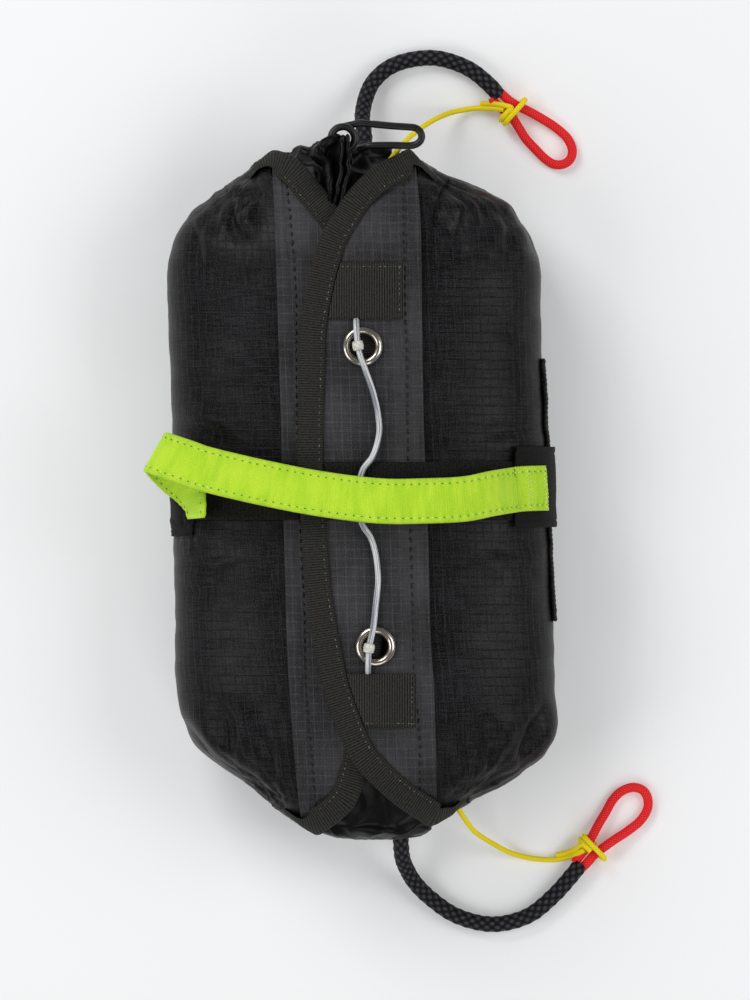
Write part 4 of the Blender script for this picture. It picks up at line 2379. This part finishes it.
@dataclass
class Eyelets:
    """Satin nickel rings set through the right facing."""

    steps: int = 96

    def profile(self) -> list[tuple[float, float]]:
        """Radius and height of the ring's rounded rim, barrel and back washer.

        Returns:
            Corners of the closed profile.
        """
        rim = EYELET_RADIUS
        throat = rim - 4.0
        dome = []
        for part in np.linspace(0.0, 1.0, 15):
            height = 0.45 + 1.7 * math.sin(math.pi * min(0.06 + 0.88 * part, 1.0)) ** 0.75
            dome.append((rim - (rim - throat) * part, height))
        wall = rim - 2.6
        return [(rim, 0.2), *dome, (throat - 0.4, -0.4), (6.5, -1.3), (6.4, -2.0),
                (EYELET_BORE, -2.6), (rim - 1.0, -2.6), (rim - 1.0, -1.9), (wall, -1.9), (wall, 0.2)]

    def build(self) -> None:
        """Build both rings."""
        for name, x, y in EYELETS:
            spots_x = np.array((x, x, x, x + 6.0, x - 6.0))
            spots_y = np.array((y, y + 6.0, y - 6.0, y, y))
            lift = RIGHT_FACING[1] + PACK.flap_lift(spots_x, spots_y)
            spots = PACK.smooth_shell(spots_y, PACK.angle_at(spots_x, spots_y, lift), lift)
            outward = Vector(np.cross(spots[3] - spots[4], spots[1] - spots[2])).normalized()
            shape = turned_ring(self.profile(), self.steps, spots[0], outward)
            finish_piece(f"{name}_ring", shape, NICKEL_METAL.make(), Slot.NICKEL, (name,))


@dataclass
class Webbing:
    """Ribbed patches, the band under the handle and the pieces at its sides."""

    patch_pitch: float = 1.4
    patch_rib: float = 0.55
    band_rib: float = 0.2
    band_pitch: float = 2.1
    far_seam: float = 2.4
    right_seam: float = 2.6
    stitch_pitch: float = 2.9

    def patches(self) -> None:
        """Build the ribbed patches that hold the clear cord."""
        base = RIGHT_FACING[1] + LAYER_GAP + PATCH_THICKNESS
        for name, low, high, right in PATCHES:

            def place(u: Points, v: Points) -> tuple[Points, Points]:
                """Where shares of the patch lie.

                Args:
                    u: Share across the piece.
                    v: Share along the pack.

                Returns:
                    Places across and along the pack.
                """
                y = low + (high - low) * v
                left = edge_x(RIGHT_FLAP_EDGE, y, 1.0, BINDING_WIDTH) + 0.5
                return left + (right - left) * u, y

            def lay(u: Points, v: Points) -> Points:
                """Points of the ribbed patch.

                Args:
                    u: Share across the piece.
                    v: Share along the pack.

                Returns:
                    Points in millimetres.
                """
                x, y = place(u, v)
                rib = np.abs(np.sin(np.pi * x / self.patch_pitch)) ** 0.8
                far = (1.0 - v) if low < 0.0 else v
                sewn = np.exp(-((((1.0 - far) * (high - low) - self.far_seam) / 0.8) ** 2))
                sewn += np.exp(-(((right - x - self.right_seam) / 0.8) ** 2))
                edge = np.minimum(np.minimum(v, 1.0 - v) * (high - low), (1.0 - u) * 40.0)
                down = 0.5 * np.exp(-edge / 0.5)
                lift = base + self.patch_rib * rib * (1.0 - 0.5 * np.clip(sewn, 0.0, 1.0)) - down
                return PACK.front(x, y, lift + PACK.flap_lift(x, y))

            def weave(u: Points, v: Points) -> Points:
                """The patch's own millimetres."""
                return np.stack(place(u, v), 1)

            shape = laid_grid(200, 20, lay, weave)
            face_outwards(shape, Vector((0.0, 0.0, 1.0)))
            made = finish_piece(f"{name}_ribbed", shape, PATCH_TAPE.make(), Slot.TAPE, (name,))
            thicken(made, 1.0)
            self.patch_stitches(name, low, high, right, base)

    def patch_stitches(self, name: str, low: float, high: float, right: float,
                       base: float) -> None:
        """Sew a patch along its far end and its right edge.

        Args:
            name: The patch.
            low: Its lowest place along the pack.
            high: Its highest place along the pack.
            right: Its right edge.
            base: Height of its face.
        """
        needle = Stitches(1.9, 0.5, 0.1)
        shape = bmesh.new()
        far = low + self.far_seam if low < 0.0 else high - self.far_seam

        def level(x: Points, y: Points) -> Points:
            """Points at the height of the stitches."""
            return PACK.front(x, y, base + 0.25 + PACK.flap_lift(x, y))

        start = float(edge_x(RIGHT_FLAP_EDGE, np.array(far), 1.0, BINDING_WIDTH)) + 1.0
        needle.row(shape, lambda x: level(x, 0.0 * x + far), start, right - 1.4, self.stitch_pitch)
        needle.row(shape, lambda y: level(0.0 * y + right - self.right_seam, y), low + 1.0,
                   high - 1.0, self.stitch_pitch)
        finish_piece(f"{name}_stitches", shape, TAPE_THREAD.make(), Slot.TAPE)

    def bands(self) -> None:
        """Build the coarse webbing across each flap."""
        low = BAND_CENTRE_Y - 0.5 * BAND_WIDTH
        seam_right = float(RIGHT_FACING_SEAM.at(np.array(BAND_CENTRE_Y)))
        seam_left = float(LEFT_FACING_SEAM.at(np.array(BAND_CENTRE_Y)))
        on_panel = PANEL[1] + 0.6

        def right_level(x: Points, y: Points) -> Points:
            """Height under the right band, on the facing and then on the panel."""
            on_facing = RIGHT_FACING[1] + PACK.flap_lift(x, y) + LAYER_GAP
            return on_facing + (on_panel - on_facing) * smooth_step((x - seam_right - 1.0) / 14.0)

        def left_level(x: Points, y: Points) -> Points:
            """Height under the left band, on the facing and then on the panel."""
            on_facing = LEFT_FACING[1] + LAYER_GAP
            return on_facing + (on_panel - on_facing) * smooth_step((seam_left - 1.0 - x) / 14.0)

        for side, left, right, level in (
            ("right", lambda y: edge_x(RIGHT_FLAP_EDGE, y, 1.0, BINDING_WIDTH) + 0.5,
             lambda y: 83.4 + 0.0 * y, right_level),
            ("left", lambda y: -91.6 + 0.0 * y,
             lambda y: edge_x(RIGHT_FLAP_EDGE, y, -1.0, 1.6), left_level),
        ):

            def place(u: Points, v: Points) -> tuple[Points, Points]:
                """Where shares of the band lie.

                Args:
                    u: Share across the piece.
                    v: Share along the pack.

                Returns:
                    Places across and along the pack.
                """
                y = low + BAND_WIDTH * v
                return left(y) + (right(y) - left(y)) * u, y

            def lay(u: Points, v: Points) -> Points:
                """Points of the band.

                Args:
                    u: Share across the piece.
                    v: Share along the pack.

                Returns:
                    Points in millimetres.
                """
                x, y = place(u, v)
                rib = np.abs(np.sin(np.pi * x / self.band_pitch)) ** 0.8
                knit = np.abs(np.sin(np.pi * (y / 2.4 + 0.5 * np.floor(x / self.band_pitch))))
                rim = np.minimum(v, 1.0 - v) * BAND_WIDTH
                down = 0.7 * np.exp(-((rim / 0.9) ** 2))
                lift = level(x, y) + BAND_THICKNESS + self.band_rib * rib * (0.6 + 0.4 * knit)
                return PACK.front(x, y, lift - down - self.band_rib)

            def weave(u: Points, v: Points) -> Points:
                """The band's own millimetres."""
                return np.stack(place(u, v), 1)

            columns = 260 if side == "right" else 200
            shape = laid_grid(columns, 44, lay, weave)
            face_outwards(shape, Vector((0.0, 0.0, 1.0)))
            made = finish_piece(f"{side}_webbing", shape, WEBBING.make(), Slot.WEBBING,
                                (f"{side}_band",))
            thicken(made, 1.6)

    def side_piece(self, node: str, ends: tuple[float, float], turns: tuple[object, object],
                   level: float, grid: tuple[int, int], thickness: float) -> None:
        """Build a piece that wraps the side of the pack.

        Args:
            node: The CAD node that it stands for.
            ends: Its places along the pack.
            turns: Functions of place that give its first and last angle.
            level: Height of its outer face over the pack.
            grid: Its faces across and along.
            thickness: Its thickness.
        """
        low, high = ends
        first, last = turns
        strip = node == "side_strip"

        def place(u: Points, v: Points) -> tuple[Points, Points]:
            """Where shares of the piece lie.

            Args:
                u: Share across the piece.
                v: Share along the pack.

            Returns:
                Places along the pack and angles round it.
            """
            y = low + (high - low) * v
            return y, first(y) + (last(y) - first(y)) * u

        def lay(u: Points, v: Points) -> Points:
            """Points of the piece with its hem and creases.

            Args:
                u: Share across the piece.
                v: Share along the pack.

            Returns:
                Points in millimetres.
            """
            y, angle = place(u, v)
            rim = np.minimum(v, 1.0 - v) * (high - low)
            hem = 0.35 * np.exp(-((rim / 0.8) ** 2)) + 0.45 * np.exp(-(((rim - 3.8) / 0.7) ** 2))
            crease = 0.0 * y
            if node == "left_tab":
                crease = self.tab_creases(u, y)
            if strip:
                crease = 0.3 - 0.3 * np.abs(np.sin(np.pi * y / 2.6)) + 0.5 * np.sin(y / 19.0) ** 2
            return PACK.shell(y, angle, level - hem - crease)

        def smooth(u: Points, v: Points) -> Points:
            """Points of the piece without its hem and creases."""
            y, angle = place(u, v)
            return PACK.smooth_shell(y, angle, level)

        shape = laid_grid(*grid, lay, arc_map(smooth, *grid))
        face_outwards(shape, Vector((-1.0 if node == "left_tab" else 1.0, 0.0, 0.4)))
        look = WEBBING if strip else TAB_CLOTH
        made = finish_piece(f"{node}_sewn", shape, look.make(), Slot.WEBBING, (node,))
        thicken(made, thickness)

    def tab_creases(self, u: Points, y: Points) -> Points:
        """Depth of the creases that spread over the left tab from where it is sewn down.

        Args:
            u: Share across the piece.
            y: Places along the pack.

        Returns:
            Depth at each place, in millimetres.
        """
        spread = np.arctan2(u * 22.0 + 2.0, y + 21.0)
        reach = np.clip(np.hypot(u * 22.0 + 2.0, y + 21.0) / 9.0, 0.0, 1.0)
        fall = np.exp(-np.hypot(u * 22.0, y + 21.0) / 26.0)
        return 1.3 * reach * fall * np.abs(np.sin(5.0 * spread + 0.4)) ** 0.7

    def build(self) -> None:
        """Build all the tape and webbing."""
        self.patches()
        self.bands()
        self.side_piece("left_tab", (-22.8, 20.0), (
            lambda y: PACK.angle_at(-92.6 + 0.0 * y, y, 3.4), lambda y: math.pi + 0.22 + 0.0 * y),
            4.8, (48, 80), 1.2)
        self.side_piece("right_pad", (-17.8, 26.7), (
            lambda y: PACK.angle_at(84.3 + 0.0 * y, y, PAD[0]), lambda y: -0.22 + 0.0 * y),
            PAD[1], (56, 90), 1.3)
        self.side_piece("side_strip", (-70.0, 75.6), (
            lambda y: 0.16 + 0.0 * y, lambda y: -0.145 + 0.0 * y), 5.2, (20, 300), 1.4)


@dataclass
class PullHandle:
    """Lime strap, turned back under itself at the left, with two sewn channels."""

    spacing: float = 0.8
    columns: int = 32
    turned_back: float = 50.0
    stitch_pitch: float = 4.4
    channel_at: float = 9.1
    channel_depth: float = 0.5
    pucker: float = 0.36

    def centre(self) -> tuple[Points, Points, Points, Points]:
        """The strap's centre line, ways across it, lifts and shares that lie on the pack.

        Returns:
            Centre line, ways across it, lifts and shares, a row for each step.
        """
        levels = {ON_PAD: PAD[1] + 0.6 + 0.5 * HANDLE_THICKNESS}
        places = []
        for x, y, z, *_ in HANDLE_ROUTE:
            spot = np.array((x, y, z))
            if z in levels:
                lift = levels[z]
                angle = PACK.angle_at(np.array(x), np.array(y), lift)
                spot = PACK.smooth_shell(np.array(y), angle, lift)
            places.append(spot)
        sides = np.array([row[3:] for row in HANDLE_ROUTE])
        hugs = np.array([(levels.get(row[2], 0.0), float(row[2] in levels), 0.0)
                         for row in HANDLE_ROUTE])
        line = Route.catmull(np.array(places), 40)
        across = Route.catmull(sides, 40)
        hug = np.repeat(hugs[:-1], 40, axis=0)
        both = np.repeat(hugs[:-1, 1] * hugs[1:, 1], 40)
        hug = np.concatenate((hug, hugs[-1:]))
        both = np.concatenate((both, hugs[-1:, 1]))
        travel = travelled(line)
        wanted = np.linspace(0.0, travel[-1], round(travel[-1] / self.spacing))
        pick = [np.interp(wanted, travel, column) for column in
                (*line.T, *across.T, hug[:, 0], both)]
        side = np.stack(pick[3:6], 1)
        side /= np.linalg.norm(side, axis=1, keepdims=True)
        return np.stack(pick[:3], 1), side, pick[6], pick[7]

    def section(self, travel: Points) -> tuple[Points, Points, Points]:
        """Places across the strap, face and height of the section at each row.

        Args:
            travel: Distance along the strap of each row.

        Returns:
            Places across, face as 1 or -1, and height over the middle.
        """
        half = 0.5 * HANDLE_WIDTH
        t = np.linspace(-1.0, 1.0, self.columns)
        a = half * np.sin(0.5 * np.pi * t) * 0.35 + half * t * 0.65
        a = np.concatenate((a, a[::-1][1:-1]))
        face = np.concatenate((np.ones(self.columns), -np.ones(self.columns - 2)))
        from_rim = half - np.abs(a)
        thick = 0.5 * HANDLE_THICKNESS * np.sqrt(np.clip(1.0 - (1.0 - from_rim / 1.4) ** 2, 0.0, 1.0)
                                                 * (from_rim < 1.4) + (from_rim >= 1.4))
        channel = np.exp(-(((np.abs(a) - self.channel_at) / 0.8) ** 2))
        swell = 0.16 * np.exp(-(((np.abs(a) - self.channel_at) / 3.0) ** 2))
        beat = 0.5 + 0.5 * np.cos(2.0 * np.pi * travel[:, None] / self.stitch_pitch)
        height = thick - channel * (self.channel_depth * 0.5 + self.channel_depth * 0.5 * beat)
        height = height + swell * (1.0 - beat)
        cross = np.exp(-(((np.abs(a) - self.channel_at) / 5.2) ** 2))
        height = height - self.pucker * cross * beat
        return a, face, height

    def rings(self) -> tuple[Points, Points, Points, Points]:
        """Rings of the strap's surface, its centre line, ways across and ways up.

        Returns:
            Rings, centre line, ways across and ways up.
        """
        line, side, lift, lies = self.centre()
        ahead = np.gradient(line, axis=0)
        up = np.cross(ahead, side)
        up /= np.linalg.norm(up, axis=1, keepdims=True)
        travel = travelled(line)
        a, face, height = self.section(travel)
        rise = face * height
        free = line[:, None, :] + a[None, :, None] * side[:, None, :]
        points = free + rise[..., None] * up[:, None, :]
        outward = np.sign(up[:, 2])[:, None] * rise
        level = lift[:, None] + outward
        hugged = PACK.front(free[..., 0], free[..., 1], np.maximum(level, 0.5))
        share = smooth_step(lies)[:, None, None]
        return points * (1.0 - share) + hugged * share, line, side, up

    def build(self) -> None:
        """Build the strap and its stitches."""
        rings, line, side, up = self.rings()
        travel = travelled(line)
        shape = closed_tube(rings, 2.0 * HANDLE_WIDTH, travel)
        finish_piece("lime_pull_handle", shape, LIME.make(), Slot.STRAP, ("handle",))
        self.stitches(rings, travel, side, up)

    def stitches(self, rings: Points, travel: Points, side: Points, up: Points) -> None:
        """Sew the channels and the box at the right end.

        Args:
            rings: The strap's rings.
            travel: Distance of each ring.
            side: Ways across the strap.
            up: Ways up from it.
        """
        needle = Stitches(2.5, 0.62, 0.1)
        thread = bmesh.new()
        pits = bmesh.new()
        a = self.section(travel[:2])[0][:self.columns]
        for distance, face in ((-self.channel_at, 1.0), (self.channel_at, 1.0),
                               (-self.channel_at, -1.0), (self.channel_at, -1.0)):
            j = int(np.argmin(np.abs(a - distance)))
            column = rings[:, j if face > 0.0 else 2 * self.columns - 2 - j]
            last = travel[-1] - 1.0 if face > 0.0 else self.turned_back
            for k, s in enumerate(np.arange(1.2, last, self.stitch_pitch)):
                spot = Vector([float(np.interp(s, travel, column[:, n])) for n in range(3)])
                i = min(int(np.searchsorted(travel, s)), len(travel) - 2)
                way = Vector(column[min(i + 2, len(column) - 1)] - column[max(i - 2, 0)])
                out = Vector(up[i]) * face
                self.sew(needle, thread, spot + out * 0.12, way, out, 0.25 * math.sin(2.3 * k))
                half = s + 0.5 * self.stitch_pitch
                spot = Vector([float(np.interp(half, travel, column[:, n])) for n in range(3)])
                self.sew(Stitches(1.3, 0.8), pits, spot + out * 0.06, way, out, 0.0)
        self.box(thread, rings, travel, up, a, needle)
        finish_piece("handle_stitches", thread, LIME_THREAD.make(), Slot.STRAP)
        finish_piece("handle_stitch_pits", pits, LIME_PIT.make(), Slot.STRAP)

    def box(self, shape: bmesh.types.BMesh, rings: Points, travel: Points, up: Points, a: Points,
            needle: Stitches) -> None:
        """Sew zigzag rows across the strap's right end.

        Args:
            shape: Mesh that takes the stitches.
            rings: The strap's rings.
            travel: Distance along the strap of each ring.
            up: Ways up from the strap.
            a: Places across the strap.
            needle: Size of a stitch.
        """
        end = travel[-1]
        for back in (2.2, 15.5):
            for k, distance in enumerate(np.arange(-11.0, 11.1, 1.1)):
                s = end - back - (0.9 if k % 2 else -0.9)
                i = min(int(np.searchsorted(travel, s)), len(travel) - 2)
                j = int(np.argmin(np.abs(a - distance)))
                way = Vector((0.8 if k % 2 else -0.8, 1.1, 0.0))
                self.sew(needle, shape, Vector(rings[i, j]) + Vector(up[i]) * 0.1, way,
                         Vector(up[i]), 0.0)

    @staticmethod
    def sew(needle: Stitches, shape: bmesh.types.BMesh, spot: Vector, way: Vector, out: Vector,
            turn: float) -> None:
        """Add a stitch on a face that looks along out.

        Args:
            needle: Size of the stitch.
            shape: Mesh that takes it.
            spot: Its middle.
            way: Way that it points.
            out: Way that the face looks.
            turn: Angle that it is turned by.
        """
        x_axis = way.normalized()
        side = out.cross(x_axis).normalized()
        axes = Matrix((x_axis, side, x_axis.cross(side))).transposed().to_4x4()
        size = Matrix.Diagonal((0.5 * needle.length, 0.5 * needle.width, 0.5 * needle.width, 1.0))
        turned = Matrix.Rotation(turn, 4, "Z")
        bmesh.ops.create_uvsphere(shape, u_segments=7, v_segments=4, radius=1.0,
                                  matrix=Matrix.Translation(spot) @ axes @ turned @ size)


def write_sizes() -> None:
    """Keep the CAD box and the finished pack's box, in metres."""
    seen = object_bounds()
    rows = {"cad": [list(corner) for corner in CAD_BOUNDS],
            "visual": [list(corner) for corner in seen]}
    for key, (low, high) in rows.items():
        LOG.info("%s box: %s to %s", key, [round(1000 * v, 1) for v in low],
                 [round(1000 * v, 1) for v in high])


def main() -> None:
    """Build the studio and every piece of the pack."""
    logging.basicConfig(level=logging.INFO, format="%(message)s")
    for name, assembly in (
        ("studio", Studio()),
        ("ropes", Ropes()),
        ("clear cord and beads", ClearLoop()),
        ("wire hook", WireHook()),
        ("crumpled core", FilledCore()),
        ("bag cloth", BagCloth()),
        ("front strips", FrontStrips()),
        ("eyelets", Eyelets()),
        ("webbing", Webbing()),
        ("pull handle", PullHandle()),
    ):
        LOG.info("building the %s", name)
        assembly.build()
    write_sizes()


if __name__ == "__main__":
    main()
